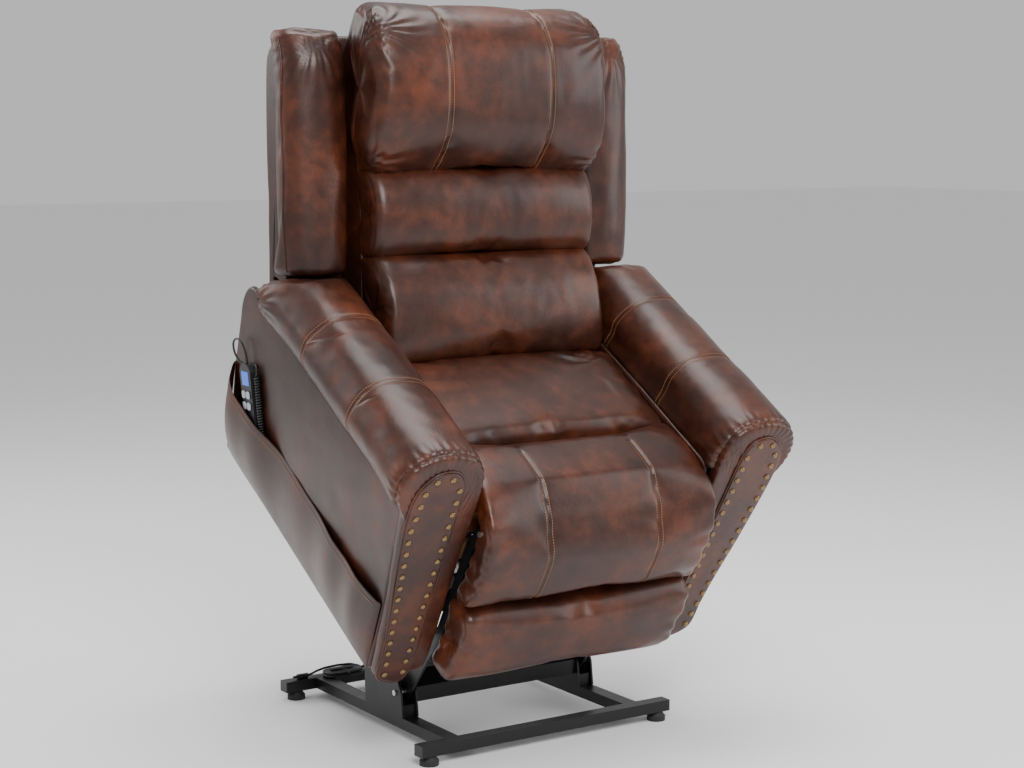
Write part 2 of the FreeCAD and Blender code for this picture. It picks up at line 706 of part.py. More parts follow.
leg_bars = []
for side, name in SIDES:
    x = side * 267.5
    blank = padded(f"leg_bar_{name}", "YZ_Plane",
                   [(-37, 378), (-34, 366), (-12, 330), (-12, 60), (10, 60), (10, 340), (-12, 384), (-25, 391)],
                   5.0, LEG.multiply(turned(x, 0, 0)), [(*hinge, "Sizes.pin_radius + Sizes.pin_clearance")],
                   symmetric=True, keep_it=False)
    x_foot = 241.0 if side > 0 else -265.0
    foot_plate = box(f"leg_bar_foot_{name}", 24.0, 4.0, 220.0, LEG.multiply(turned(x_foot, -5.9, 80)))
    leg_bars.append((blank, foot_plate))
lever_plates = cheeks("leg_lever", LEG, LEG_X, 20.0, [(-6, 226), (40, 243), (40, 267), (-6, 275)])
leg_solids = []
for number, (blank, foot_plate) in enumerate(leg_bars):
    joined = doc.addObject("Part::MultiFuse", f"leg_bar_joined_{number}")
    joined.Shapes = [blank, foot_plate]
    leg_solids.append(joined)
group("legrest_hinge_bars", leg_solids + lever_plates)

for side, name in SIDES:
    x_start = 264.0 if side > 0 else -279.0
    chair_pins.append(cross_pin(f"leg_pin_{name}", SEAT, x_start, size("leg_hinge_b"), size("leg_hinge_u"),
                                "Sizes.pin_radius", 15.0))

# ---------------------------------------------------------------- backrest
# A welded frame hinged low behind the seat, three stacked cushions, two wings and a rear shell.

frame_bars = []
for side in (-1, 1):
    x = 234.0 if side > 0 else -250.0
    frame_bars.append(box(f"back_stile_{side + 1}", 16.0, 18.0, 660.0, BACK.multiply(turned(x, 134, 40))))
for number, v in enumerate((40.0, 380.0, 682.0)):
    frame_bars.append(box(f"back_rail_{number}", 500.0, 18.0, 18.0, BACK.multiply(turned(-250, 134, v))))
for number, v in enumerate((380.0, 600.0)):
    for side in (-1, 1):
        x = 234.0 if side > 0 else -250.0
        frame_bars.append(box(f"back_strut_{number}_{side + 1}", 16.0, 120.0, 18.0,
                              BACK.multiply(turned(x, 151, v))))
lever_drop = 30.0
lever_pin = cross_pin("back_lever_rod", SEAT, -253, RECLINE_END[0], RECLINE_END[1] - lever_drop, 6.0, 175.0)
BRACKET = [(545, 226), (529, 104), (530, 80), (550, 80), (553, 104), (577, 216), (603, 425), (621, 470),
           (596, 484), (566, 430)]
for side, name in SIDES:
    frame_bars.append(padded(f"back_bracket_{name}", "YZ_Plane", BRACKET, 5.0,
                             SEAT.multiply(turned(side * 252.5, 0, 0)),
                             [("Sizes.hinge_b", "Sizes.hinge_u", "Sizes.pin_radius + Sizes.pin_clearance")],
                             symmetric=True, keep_it=False))
frame_bars.append(lever_pin)
fused("back_frame", frame_bars)

for side, name in SIDES:
    x_start = 247.0 if side > 0 else -258.0
    chair_pins.append(cross_pin(f"back_pin_{name}", SEAT, x_start, size("hinge_b"), size("hinge_u"),
                                "Sizes.pin_radius", 11.0))
group("chair_pivot_pins", chair_pins)

padded("headrest_cushion", "YZ_Plane",
       [(132, 404), (102, 402), (40, 430), (12, 500), (4, 570), (12, 640), (44, 722), (82, 750), (132, 752)],
       "Sizes.headrest_width", BACK, rounds={40: [4], 30: [2, 3, 5, 6], 20: [7]}, symmetric=True)
padded("lumbar_cushion", "YZ_Plane",
       [(132, 230), (100, 228), (58, 244), (42, 310), (56, 376), (100, 398), (132, 400)],
       "Sizes.back_width", BACK, rounds={24: [2, 3, 4]}, symmetric=True)
padded("lower_back_cushion", "YZ_Plane",
       [(132, 8), (24, 4), (2, 30), (2, 120), (34, 204), (100, 224), (132, 226)],
       "Sizes.back_width", BACK, rounds={14: [1, 2], 60: [3], 20: [4]}, symmetric=True)

for side, name in SIDES:
    start = size("wing_inner_x") if side > 0 else -size("wing_outer_x")
    padded(f"wing_pad_{name}", "YZ_Plane",
           [(206, 186), (136, 184), (114, 200), (112, 620), (130, 676), (160, 692), (206, 690)],
           "Sizes.wing_outer_x - Sizes.wing_inner_x", BACK.multiply(turned(start, 0, 0)),
           rounds={30: [4], 12: [1, 2, 5]})

shell_block = padded("shell_block", "YZ_Plane",
                     [(206, 184), (278, 179), (278, 40), (284, 40), (282, 610), (268, 660), (206, 668)],
                     "Sizes.shell_x * 2", BACK, rounds={20: [5]}, symmetric=True, keep_it=False)
shell_space = padded("shell_space", "YZ_Plane",
                     [(200, 190), (279, 184), (277, 606), (264, 654), (200, 662)],
                     "Sizes.shell_x * 2 - 12", BACK, symmetric=True, keep_it=False)
cut("outer_back_shell", shell_block, shell_space, keep_it=True)

# ---------------------------------------------------------------- handset
# A hand control in the pocket, its face outwards, with a lit window and four keys.

HANDSET = LEFT_PANEL.multiply(turned(-2.5, 684, 286, -size("lift_tilt")))
padded("handset_case", "YZ_Plane",
       rectangle("-Sizes.handset_width / 2", "-Sizes.handset_length", "Sizes.handset_width / 2", 0),
       "Sizes.handset_depth", HANDSET.multiply(turned(-size("handset_depth"), 0, 0)),
       rounds={14: [0, 1], 20: [2, 3]})
face_x = -size("handset_depth")
box("handset_window", 0.8, 34.0, 30.0, HANDSET.multiply(turned(face_x - 0.8, -17, -46)), keep_it=True)
KEYS = {"raise_key": (-19, -74), "lower_key": (3, -74), "recline_key": (-19, -98), "legrest_key": (3, -98)}
for label, (y, z) in KEYS.items():
    padded(f"handset_{label}", "YZ_Plane", rectangle(y, z, y + 16, z + 16), 2.0,
           HANDSET.multiply(turned(face_x - 3.4, 0, 0)), rounds={5: [0, 1, 2, 3]})

# ---------------------------------------------------------------- leads


def lead(route, radius):
    """A tube along straight runs joined by tangent arcs, and the arcs' radii."""
    points = [Vector(*p) for p in route]
    edges = []
    radii = []
    start = points[0]
    for before, corner, after in zip(points, points[1:], points[2:]):
        back = before - corner
        ahead = after - corner
        turn = math.pi - back.getAngle(ahead)
        reach = 0.45 * min(back.Length, ahead.Length)
        radii.append(reach / math.tan(turn / 2))
        arc_start = corner + back.normalize() * reach
        arc_end = corner + ahead.normalize() * reach
        inward = (back + ahead).normalize()
        centre_gap = radii[-1] / math.cos(turn / 2)
        middle = corner + inward * (centre_gap - radii[-1])
        edges.append(Part.LineSegment(start, arc_start).toShape())
        edges.append(Part.Arc(arc_start, middle, arc_end).toShape())
        start = arc_end
    edges.append(Part.LineSegment(start, points[-1]).toShape())
    path = Part.Wire(edges)
    ring = Part.Circle(points[0], points[1] - points[0], radius).toShape()
    tube = path.makePipeShell([Part.Wire([ring])], True, False)
    wanted = math.pi * radius ** 2 * path.Length
    print(f"lead {path.Length:.1f} mm, smallest radius {min(radii):.1f} mm, "
          f"volume {tube.Volume / wanted:.4f} of section times length")
    return tube


# The handset lead leaves the top of the case, loops up and over to the rear, and comes back to
# the head of the curly part, which hangs into the pocket beside the case.
HANDSET_LEAD = [(-16, 684, 286), (-16, 691, 299), (-17, 704, 312), (-18, 722, 319), (-19, 741, 314),
                (-20, 753, 298), (-19, 751, 280), (-16, 738, 266), (-12, 719, 263), (-9, 701, 268),
                (-7, 685, 280), (-6, 669, 292), (-8, 655, 300), (-12, 645, 298), (-14, 638, 289)]
solid_feature("handset_lead", lead(HANDSET_LEAD, size("lead_diameter") / 2), LEFT_PANEL)
CURLY = [(-14, 638, 289), (-14, 617, 253), (-14.5, 597, 218), (-15, 576, 183), (-15, 554, 150)]
solid_feature("handset_curly_lead", lead(CURLY, size("curly_diameter") / 2), LEFT_PANEL)

# The power lead leaves a socket block on the rear tube and is folded into a tied hank there.
rear_top = size("tube_bottom") + size("tube_height")
box("power_socket", 30.0, 26.0, 20.0, BASE.multiply(turned(-98, 566, rear_top)), keep_it=True)
power_level = rear_top + 8.0
POWER_LEAD = [(-98, 579, power_level), (-108, 579, power_level), (-117, 577, power_level - 2),
              (-128, 573, power_level - 3)]
solid_feature("power_lead", lead(POWER_LEAD, size("power_diameter") / 2), BASE)
hank_outer = padded("hank_outer", "XY_Plane",
                    rectangle(-230, 532, -126, 590), 12.0, BASE.multiply(turned(0, 0, rear_top + 0.2)),
                    rounds={27: [0, 1, 2, 3]}, keep_it=False)
hank_inner = padded("hank_inner", "XY_Plane",
                    rectangle(-216, 548, -140, 574), 14.0, BASE.multiply(turned(0, 0, rear_top - 0.8)),
                    rounds={12: [0, 1, 2, 3]}, keep_it=False)
cut("power_lead_hank", hank_outer, hank_inner, keep_it=True)
plug = rod("power_plug_grip", 5.5, 26.0, BASE.multiply(turned(-285, 579, rear_top + 5.6, 90, (0, 1, 0))))
barrel = rod("power_plug_barrel", 2.75, 10.0, BASE.multiply(turned(-295, 579, rear_top + 5.6, 90, (0, 1, 0))))
fused("power_plug", [plug, barrel])

# ---------------------------------------------------------------- checks and export

doc.recompute()
for item in doc.Objects:
    if "Invalid" in item.State or "Error" in item.State:
        raise RuntimeError(f"{item.Label} failed: {item.State}")
labels = [part.Label for part in nodes]
if len(set(labels)) != len(labels):
    raise RuntimeError("two pieces share a name")
whole = FreeCAD.BoundBox()
for part in nodes:
    if part.Shape.isNull() or not part.Shape.isValid():
        raise RuntimeError(f"{part.Label} has no valid shape")
    whole.add(part.Shape.BoundBox)
print(f"{len(nodes)} nodes, box {whole}")

os.makedirs("parts", exist_ok=True)
for part in nodes:
    part.Shape.exportStep(f"parts/{part.Label}.step")
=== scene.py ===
import json
import math

import bpy
import numpy as np
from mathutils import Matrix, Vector, noise
from mathutils.bvhtree import BVHTree

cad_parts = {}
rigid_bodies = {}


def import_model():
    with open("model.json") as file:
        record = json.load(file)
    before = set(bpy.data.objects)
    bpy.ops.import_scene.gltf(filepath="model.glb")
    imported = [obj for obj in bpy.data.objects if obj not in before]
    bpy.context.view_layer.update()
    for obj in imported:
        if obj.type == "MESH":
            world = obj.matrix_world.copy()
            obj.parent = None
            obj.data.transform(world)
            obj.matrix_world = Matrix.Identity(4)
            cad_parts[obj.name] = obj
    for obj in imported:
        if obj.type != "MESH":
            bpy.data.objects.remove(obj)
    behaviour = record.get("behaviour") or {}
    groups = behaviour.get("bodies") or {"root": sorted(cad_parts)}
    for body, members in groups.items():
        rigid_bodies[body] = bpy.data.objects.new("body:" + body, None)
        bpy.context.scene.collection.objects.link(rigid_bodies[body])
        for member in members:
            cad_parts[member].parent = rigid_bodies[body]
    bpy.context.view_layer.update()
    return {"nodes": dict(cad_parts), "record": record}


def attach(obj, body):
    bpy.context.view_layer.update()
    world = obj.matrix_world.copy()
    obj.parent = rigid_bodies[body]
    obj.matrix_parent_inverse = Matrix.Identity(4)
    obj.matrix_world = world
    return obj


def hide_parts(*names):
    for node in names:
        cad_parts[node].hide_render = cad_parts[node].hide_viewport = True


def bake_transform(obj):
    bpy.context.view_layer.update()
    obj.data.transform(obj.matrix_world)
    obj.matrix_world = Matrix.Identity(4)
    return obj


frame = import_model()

# ---------------------------------------------------------------- studio
# A plain pale floor and soft boxes of light round the chair, with the camera in front of it, on the
# side of its left arm.

FLOOR_SIZE = 60
CHAIR_MIDDLE = Vector((0, 0, 0.8))
CAMERA_PLACE = (-2.3425, -3.6256, 1.2736)
CAMERA_TURN = (math.radians(82.86), 0, math.radians(-33.48))
LENS_MM = 71.4
SOFT_BOXES = {    # place, width and power of each
    "key": ((-1.2, -3.2, 3.2), 1.8, 125),
    "fill": ((3.2, -2.2, 2.0), 2.4, 60),
    "top": ((0.2, 0.2, 3.9), 2.2, 95),
    "rear": ((-2.0, 3.0, 2.6), 2.4, 50),
}


def studio():
    bpy.ops.object.select_all(action="DESELECT")
    bpy.ops.mesh.primitive_plane_add(size=FLOOR_SIZE, location=(0, 0, 0))
    floor = bpy.context.object
    floor.name = "studio_floor"
    paint = bpy.data.materials.new("studio_floor")
    paint.use_nodes = True
    surface = paint.node_tree.nodes["Principled BSDF"]
    surface.inputs["Base Color"].default_value = (0.9, 0.9, 0.9, 1)
    surface.inputs["Roughness"].default_value = 0.8
    floor.data.materials.append(paint)

    world = bpy.data.worlds.new("studio")
    world.use_nodes = True
    world.node_tree.nodes["Background"].inputs["Color"].default_value = (1, 1, 1, 1)
    world.node_tree.nodes["Background"].inputs["Strength"].default_value = 0.62
    bpy.context.scene.world = world
    for name, (place, width, power) in SOFT_BOXES.items():
        light = bpy.data.lights.new(name, "AREA")
        light.size = width
        light.energy = power
        lamp = bpy.data.objects.new(name, light)
        lamp.location = place
        lamp.rotation_euler = (CHAIR_MIDDLE - Vector(place)).to_track_quat("-Z", "Y").to_euler()
        bpy.context.collection.objects.link(lamp)

    view = bpy.data.cameras.new("camera")
    view.lens = LENS_MM
    view.sensor_width = 36
    camera = bpy.data.objects.new("camera", view)
    camera.location = CAMERA_PLACE
    camera.rotation_euler = CAMERA_TURN
    bpy.context.collection.objects.link(camera)
    bpy.context.scene.camera = camera


studio()

# ---------------------------------------------------------------- brown pull-up leather
# Finished hide: nearly black brown, burnished red and orange where it has been rubbed, with a fine
# pebbled grain, small creases and a waxed gloss.


class Signal:
    """A socket that can be used in arithmetic, which adds the Math nodes for it."""

    def __init__(self, tree, socket):
        self.tree = tree
        self.socket = socket

    def _math(self, operation, first, second):
        node = self.tree.nodes.new("ShaderNodeMath")
        node.operation = operation
        for place, item in ((0, first), (1, second)):
            if isinstance(item, Signal):
                self.tree.links.new(item.socket, node.inputs[place])
            else:
                node.inputs[place].default_value = item
        return Signal(self.tree, node.outputs[0])

    def __add__(self, other):
        return self._math("ADD", self, other)

    def __radd__(self, other):
        return self._math("ADD", other, self)

    def __sub__(self, other):
        return self._math("SUBTRACT", self, other)

    def __rsub__(self, other):
        return self._math("SUBTRACT", other, self)

    def __mul__(self, other):
        return self._math("MULTIPLY", self, other)

    def __rmul__(self, other):
        return self._math("MULTIPLY", other, self)

    def __pow__(self, other):
        return self._math("POWER", self, other)


class Finish:
    """A material under construction: its tree, its shader and one way to add any node."""

    def __init__(self, name):
        self.material = bpy.data.materials.new(name)
        self.material.use_nodes = True
        self.tree = self.material.node_tree
        self.shader = self.tree.nodes["Principled BSDF"]

    def node(self, kind, settings=None, inputs=None, output=0):
        made = self.tree.nodes.new(kind)
        for field, value in (settings or {}).items():
            if field == "stops":
                ramp = made.color_ramp
                while len(ramp.elements) < len(value):
                    ramp.elements.new(0.5)
                for element, (place, colour) in zip(ramp.elements, value):
                    element.position = place
                    element.color = (*colour, 1)
            else:
                setattr(made, field, value)
        for socket, value in (inputs or {}).items():
            if isinstance(value, Signal):
                self.tree.links.new(value.socket, made.inputs[socket])
            else:
                made.inputs[socket].default_value = value
        return Signal(self.tree, made.outputs[output])

    def surface(self, **values):
        for name, value in values.items():
            socket = self.shader.inputs[name.replace("_", " ")]
            if isinstance(value, Signal):
                self.tree.links.new(value.socket, socket)
            else:
                socket.default_value = value


DEEP_BROWN = (0.010, 0.0032, 0.0020)
RED_BROWN = (0.044, 0.0108, 0.0046)
BURNISH = (0.130, 0.0290, 0.0080)


def leather_finish(name, burnish=1.0, grain=1.0, shift=0.0):
    finish = Finish(name)
    spot = finish.node("ShaderNodeTexCoord", output="Object")
    spot = finish.node("ShaderNodeMapping", inputs={"Vector": spot, "Location": (shift, shift, shift)})
    cloud = finish.node("ShaderNodeTexNoise", inputs={"Vector": spot, "Scale": 5.5, "Detail": 3.0,
                                                      "Roughness": 0.55})
    patch = finish.node("ShaderNodeTexNoise", inputs={"Vector": spot, "Scale": 26.0, "Detail": 5.0,
                                                      "Roughness": 0.65})
    wear = cloud * 0.55 + patch * 0.45
    colour = finish.node("ShaderNodeValToRGB", inputs={"Fac": wear * burnish},
                         settings={"stops": [(0.30, DEEP_BROWN), (0.50, RED_BROWN), (0.72, BURNISH)]})
    pebble = finish.node("ShaderNodeTexVoronoi", inputs={"Vector": spot, "Scale": 520.0})
    crease = finish.node("ShaderNodeTexNoise", inputs={"Vector": spot, "Scale": 90.0, "Detail": 4.0})
    relief = crease * 0.5 + pebble * 0.5
    bump = finish.node("ShaderNodeBump", inputs={"Height": relief, "Strength": 0.32 * grain,
                                                 "Distance": 0.0012})
    finish.surface(Base_Color=colour, Roughness=0.24 + patch * 0.22, Normal=bump, Specular_IOR_Level=0.42,
                   Coat_Weight=0.10, Coat_Roughness=0.18)
    return finish.material


leather = leather_finish("brown_leather")
side_leather = leather_finish("brown_leather_sides", burnish=0.92, shift=3.1)

# ---------------------------------------------------------------- seat and back frames
# The chair is laid out in its own level seat frame, in millimetres: x across, b back from the arm
# fronts, u up from the arm bottoms.  The backrest has d rearwards and v up along its lean.

MM = 0.001
TILT = math.radians(30.5)
LEAN = math.radians(31.0)
LEG_HINGE = (-25.0, 378.0)
BACK_FOOT = (419.0, 448.0)
pivots = {joint["name"]: joint.get("pos_m") for joint in frame["record"]["behaviour"]["joints"]}
hinge_b, hinge_u = LEG_HINGE
seat_origin_y = pivots["legrest_swing"][1] - (hinge_b * math.cos(TILT) - hinge_u * math.sin(TILT)) * MM
seat_origin_z = pivots["legrest_swing"][2] - (hinge_b * math.sin(TILT) + hinge_u * math.cos(TILT)) * MM


def seat(x, b, u):
    """Seat frame millimetres to metres in the model, for numbers or arrays."""
    y = seat_origin_y + (b * math.cos(TILT) - u * math.sin(TILT)) * MM
    z = seat_origin_z + (b * math.sin(TILT) + u * math.cos(TILT)) * MM
    return np.stack(np.broadcast_arrays(np.asarray(x) * MM, y, z), axis=-1)


def back(x, d, v):
    """Backrest millimetres to metres in the model."""
    b = BACK_FOOT[0] + d * math.cos(LEAN) + v * math.sin(LEAN)
    u = BACK_FOOT[1] - d * math.sin(LEAN) + v * math.cos(LEAN)
    return seat(x, b, u)


# ---------------------------------------------------------------- stuffed covers
# Every cushion is a leather cover cut to an outline and drawn in at its ends, filled until it
# swells between its seams.


CURVE_STEPS = 24


def span(p0, p1, p2, p3):
    """The curve from p1 to p2, led by the points before and after them."""
    return [0.5 * (2 * p1 + (p2 - p0) * t + (2 * p0 - 5 * p1 + 4 * p2 - p3) * t ** 2
                   + (3 * p1 - p0 - 3 * p2 + p3) * t ** 3)
            for t in np.linspace(0, 1, CURVE_STEPS, endpoint=False)]


def distances(line):
    """How far along the line each of its points is."""
    return np.concatenate([[0], np.cumsum(np.linalg.norm(np.diff(line, axis=0), axis=1))])


def smooth_loop(points, step):
    """A closed curve through a few points, as evenly spaced points about step apart."""
    knots = np.array(points, float)
    count = len(knots)
    fine = []
    for i in range(count):
        fine += span(*(knots[(i + k) % count] for k in (-1, 0, 1, 2)))
    fine = np.array(fine + [fine[0]])
    run = distances(fine)
    spots = np.linspace(0, run[-1], int(round(run[-1] / step)), endpoint=False)
    return np.stack([np.interp(spots, run, fine[:, 0]), np.interp(spots, run, fine[:, 1])], axis=-1)


def stations(low, high, radius, step, seams=()):
    """Places along a cushion with how far the outline is drawn in at each, round at both ends.

    There are more places round each flat seam, so that the cover can be drawn in along it.
    """
    turn = np.radians([90, 72, 54, 36, 18])
    start = [(low, radius * 2.6), (low, radius * 1.7)]
    start += [(low + radius * (1 - math.sin(a)), radius * (1 - math.cos(a))) for a in turn]
    middle = list(np.linspace(low + radius, high - radius, max(2, int((high - low) / step))))
    for seam in seams:
        middle = [m for m in middle if abs(m - seam) > 9]
        middle += [seam - 7, seam - 3, seam, seam + 3, seam + 7]
    end = [(low + high - place, inset) for place, inset in reversed(start)]
    return np.array(start + [(m, 0.0) for m in sorted(middle)] + end)


def cover(name, outline, places, lay, shape=None, spine=None):
    """The cover as a closed mesh: the outline carried along the places, its ends drawn shut.

    They close on the outline's middle or, when it is given, on the spine, which has one point for
    each of the outline's.
    """
    count = len(outline)
    rows = len(places)
    bpy.ops.object.select_all(action="DESELECT")
    bpy.ops.mesh.primitive_grid_add(x_subdivisions=count, y_subdivisions=rows + 1, size=1)
    piece = bpy.context.object
    piece.name = name
    loop = np.vstack([outline, outline[:1]])
    centre = np.tile(outline.mean(axis=0), (count + 1, 1))
    if spine is not None:
        centre = np.vstack([spine, spine[:1]])
    arm = np.maximum(np.linalg.norm(loop - centre, axis=1), 1)
    grid = np.empty((rows + 2, count + 1, 3))
    for row, (along, inset) in enumerate(places, start=1):
        drawn = centre + (loop - centre) * np.clip(1 - inset / arm, 0.02, 1)[:, None]
        grid[row] = np.column_stack([np.full(count + 1, along), drawn])
    for row, source in ((0, 1), (rows + 1, rows)):
        grid[row] = np.column_stack([grid[source, :, 0], centre])
    flat = grid.reshape(-1, 3)
    if shape:
        flat = shape(flat)
    coords = lay(flat[:, 0], flat[:, 1], flat[:, 2])
    piece.data.vertices.foreach_set("co", coords.ravel())
    group = piece.vertex_groups.new(name="sewn")
    seam_rows = {4, rows - 3}
    sewn = [row * (count + 1) + k for row in seam_rows for k in range(count + 1)]
    group.add(sewn, 1.0, "REPLACE")
    bpy.ops.object.mode_set(mode="EDIT")
    bpy.ops.mesh.select_all(action="SELECT")
    bpy.ops.mesh.remove_doubles(threshold=0.00005)
    bpy.ops.mesh.normals_make_consistent(inside=False)
    bpy.ops.object.mode_set(mode="OBJECT")
    piece.data.polygons.foreach_set("use_smooth", [True] * len(piece.data.polygons))
    return piece


def coords_of(piece, field="co"):
    """The points of a piece, or another field of its vertices, as an array."""
    flat = np.empty(len(piece.data.vertices) * 3, np.float32)
    piece.data.vertices.foreach_get(field, flat)
    return flat.reshape(-1, 3).astype(float)


def fill(piece, pressure, spare, most, frames=20):
    """Swell the cover under pressure with a little spare leather, moving no point more than most."""
    before = coords_of(piece)
    bpy.ops.object.select_all(action="DESELECT")
    test = piece.copy()
    test.data = piece.data.copy()
    bpy.context.collection.objects.link(test)
    cloth = test.modifiers.new("filling", "CLOTH")
    settings = cloth.settings
    settings.quality = 5
    settings.mass = 0.4
    settings.tension_stiffness = 25
    settings.compression_stiffness = 25
    settings.shear_stiffness = 10
    settings.bending_stiffness = 1.2
    settings.use_pressure = True
    settings.uniform_pressure_force = pressure
    settings.vertex_group_mass = "sewn"
    settings.shrink_min = -spare
    settings.effector_weights.gravity = 0
    cloth.collision_settings.use_collision = False
    cloth.point_cache.frame_start = 1
    cloth.point_cache.frame_end = frames
    scene = bpy.context.scene
    for number in range(1, frames + 1):
        scene.frame_set(number)
    result = test.evaluated_get(bpy.context.evaluated_depsgraph_get())
    moved = coords_of(result) - before
    length = np.linalg.norm(moved, axis=1)
    moved *= np.minimum(1, most * MM / np.maximum(length, 1e-9))[:, None]
    piece.data.vertices.foreach_set("co", (before + moved).ravel())
    piece.data.update()
    bpy.data.objects.remove(test)
    scene.frame_set(1)


def refine(piece):
    """Halve the mesh of a cover and round it off."""
    bpy.ops.object.select_all(action="DESELECT")
    bpy.context.view_layer.objects.active = piece
    piece.select_set(True)
    smooth = piece.modifiers.new("smooth", "SUBSURF")
    smooth.levels = smooth.render_levels = 1
    smooth.use_limit_surface = False
    bpy.ops.object.modifier_apply(modifier=smooth.name)


def press(piece, depth):
    """Push the surface in along its normals by depth, one value a vertex, in millimetres."""
    moved = coords_of(piece) - coords_of(piece, "normal") * (depth * MM)[:, None]
    piece.data.vertices.foreach_set("co", moved.ravel())
    piece.data.update()


def drift(points, scale, seed):
    """Smooth noise from -1 to 1 at each point, its scale in waves a metre."""
    return np.array([noise.noise(Vector(p) * scale + Vector((seed, 0, 0))) for p in points])


def finish_padded(piece, material, body, nodes):
    """Give a stuffed piece its leather and the body it rides on, and hide the nodes it stands for."""
    piece.data.materials.clear()
    piece.data.materials.append(material)
    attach(piece, body)
    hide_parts(*nodes)


# ---------------------------------------------------------------- welts and topstitching
# Piping sewn into the seams, and double rows of thick tan thread either side of the flat seams.


def tube(name, path, radius, material):
    """A round cord along points in metres, as a mesh."""
    curve = bpy.data.curves.new(name, "CURVE")
    curve.dimensions = "3D"
    curve.bevel_depth = radius * MM
    curve.bevel_resolution = 2
    curve.use_fill_caps = True
    line = curve.splines.new("POLY")
    line.points.add(len(path) - 1)
    for point, spot in zip(line.points, path):
        point.co = (*spot, 1)
    rope = bpy.data.objects.new(name, curve)
    bpy.context.collection.objects.link(rope)
    bpy.ops.object.select_all(action="DESELECT")
    bpy.context.view_layer.objects.active = rope
    rope.select_set(True)
    bpy.ops.object.convert(target="MESH")
    rope = bpy.context.object
    rope.data.polygons.foreach_set("use_smooth", [True] * len(rope.data.polygons))
    rope.data.materials.clear()
    rope.data.materials.append(material)
    return rope


def thread_finish():
    finish = Finish("tan_thread")
    finish.surface(Base_Color=(0.36, 0.16, 0.062, 1), Roughness=0.55)
    return finish.material


thread = thread_finish()
# One stitch of length, width and height 1: a point at each end and a three-sided body between them.
STITCH = np.array([(-0.5, 0, 0), (-0.32, 0.5, 0.5), (-0.32, -0.5, 0.5), (-0.32, 0, -0.2), (0.32, 0.5, 0.5),
                   (0.32, -0.5, 0.5), (0.32, 0, -0.2), (0.5, 0, 0)])
STITCH_FACES = [(0, 1, 2), (0, 2, 3), (0, 3, 1), (1, 4, 5, 2), (2, 5, 6, 3), (3, 6, 4, 1), (4, 7, 5),
                (5, 7, 6), (6, 7, 4)]


def even(path, step):
    """A path in metres as evenly spaced points about step millimetres apart."""
    path = np.asarray(path)
    run = distances(path)
    spots = np.linspace(0, run[-1], max(2, int(round(run[-1] / (step * MM))) + 1))
    return np.stack([np.interp(spots, run, path[:, k]) for k in range(3)], axis=-1)


def stitches(name, paths, pitch=5.6, long=4.2, wide=1.5):
    """Rows of separate thread stitches; each path is its points and its outward directions."""
    places = []
    for path, outward in paths:
        if len(path) < 3:
            continue
        spots = even(path, pitch)
        near = [int(np.argmin(np.linalg.norm(path - spot, axis=1))) for spot in spots]
        for k in range(len(spots) - 1):
            ahead = spots[k + 1] - spots[k]
            ahead /= np.linalg.norm(ahead)
            up = outward[near[k]]
            across = np.cross(up, ahead)
            across /= max(np.linalg.norm(across), 1e-9)
            up = np.cross(ahead, across)
            middle = (spots[k] + spots[k + 1]) / 2
            frame_rows = np.array([ahead * long, across * wide, up * wide * 0.8]) * MM
            places.append(middle + STITCH @ frame_rows + up * 0.15 * MM)
    count = len(places)
    mesh = bpy.data.meshes.new(name)
    corners = len(STITCH)
    faces = [tuple(index + corners * k for index in face) for k in range(count) for face in STITCH_FACES]
    mesh.from_pydata(np.concatenate(places).tolist(), [], faces)
    mesh.materials.append(thread)
    mesh.polygons.foreach_set("use_smooth", [True] * len(mesh.polygons))
    row = bpy.data.objects.new(name, mesh)
    bpy.context.collection.objects.link(row)
    return row


def surface_of(piece):
    """The cover as something that rays and near points can be found on."""
    return BVHTree.FromPolygons([v.co.copy() for v in piece.data.vertices],
                                [tuple(p.vertices) for p in piece.data.polygons])


def traced(surface, starts, ways):
    """Where rays meet the cover, with the outward direction there."""
    spots, outward = [], []
    for start, way in zip(starts, ways):
        spot, normal, _, _ = surface.ray_cast(Vector(start), Vector(way))
        if spot is not None:
            spots.append(np.array(spot))
            outward.append(np.array(normal))
    return np.array(spots), np.array(outward)


def around(piece, lay, station, centre, sweep):
    """A line round the outside of a cover in one cutting plane, found from outside it.

    The sweep is its first and last angle about the centre, in degrees.
    """
    surface = surface_of(piece)
    starts, ways = [], []
    for angle in np.radians(np.arange(*sweep, 1.0)):
        far = np.array(centre) + 900 * np.array([math.cos(angle), math.sin(angle)])
        start, end = lay(station, *far), lay(station, *centre)
        starts.append(start)
        ways.append((end - start) / np.linalg.norm(end - start))
    return traced(surface, starts, ways)


def near_path(points, path):
    """How far each point is from a traced line, in millimetres, or a metre where it is far off."""
    spots = even(path, 2.0)
    out = np.full(len(points), 1e3)
    low, high = spots.min(axis=0) - 0.02, spots.max(axis=0) + 0.02
    close = np.nonzero(np.all((points > low) & (points < high), axis=1))[0]
    for start in range(0, len(close), 2000):
        part = close[start:start + 2000]
        gaps = np.linalg.norm(points[part, None, :] - spots[None, :, :], axis=2)
        out[part] = gaps.min(axis=1) / MM
    return out


def top_seam(piece, lay, station, centre, sweep, name, gap=6.5, deep=2.2):
    """Draws the cover in along one seam and lays a row of stitches either side of it."""
    path, _ = around(piece, lay, station, centre, sweep)
    away = near_path(coords_of(piece), path)
    press(piece, deep * np.exp(-(away / 4.5) ** 2))
    rows = [around(piece, lay, station + side * gap, centre, sweep) for side in (-1, 1)]
    sewn = stitches(name, rows)
    sewn.parent = piece


# ---------------------------------------------------------------- back cushions
# Three fibre-filled cushions one above the other: a deep headrest, a lumbar roll and a lower
# cushion, each sewn to the one below along a crease, in front of an upholstered back.

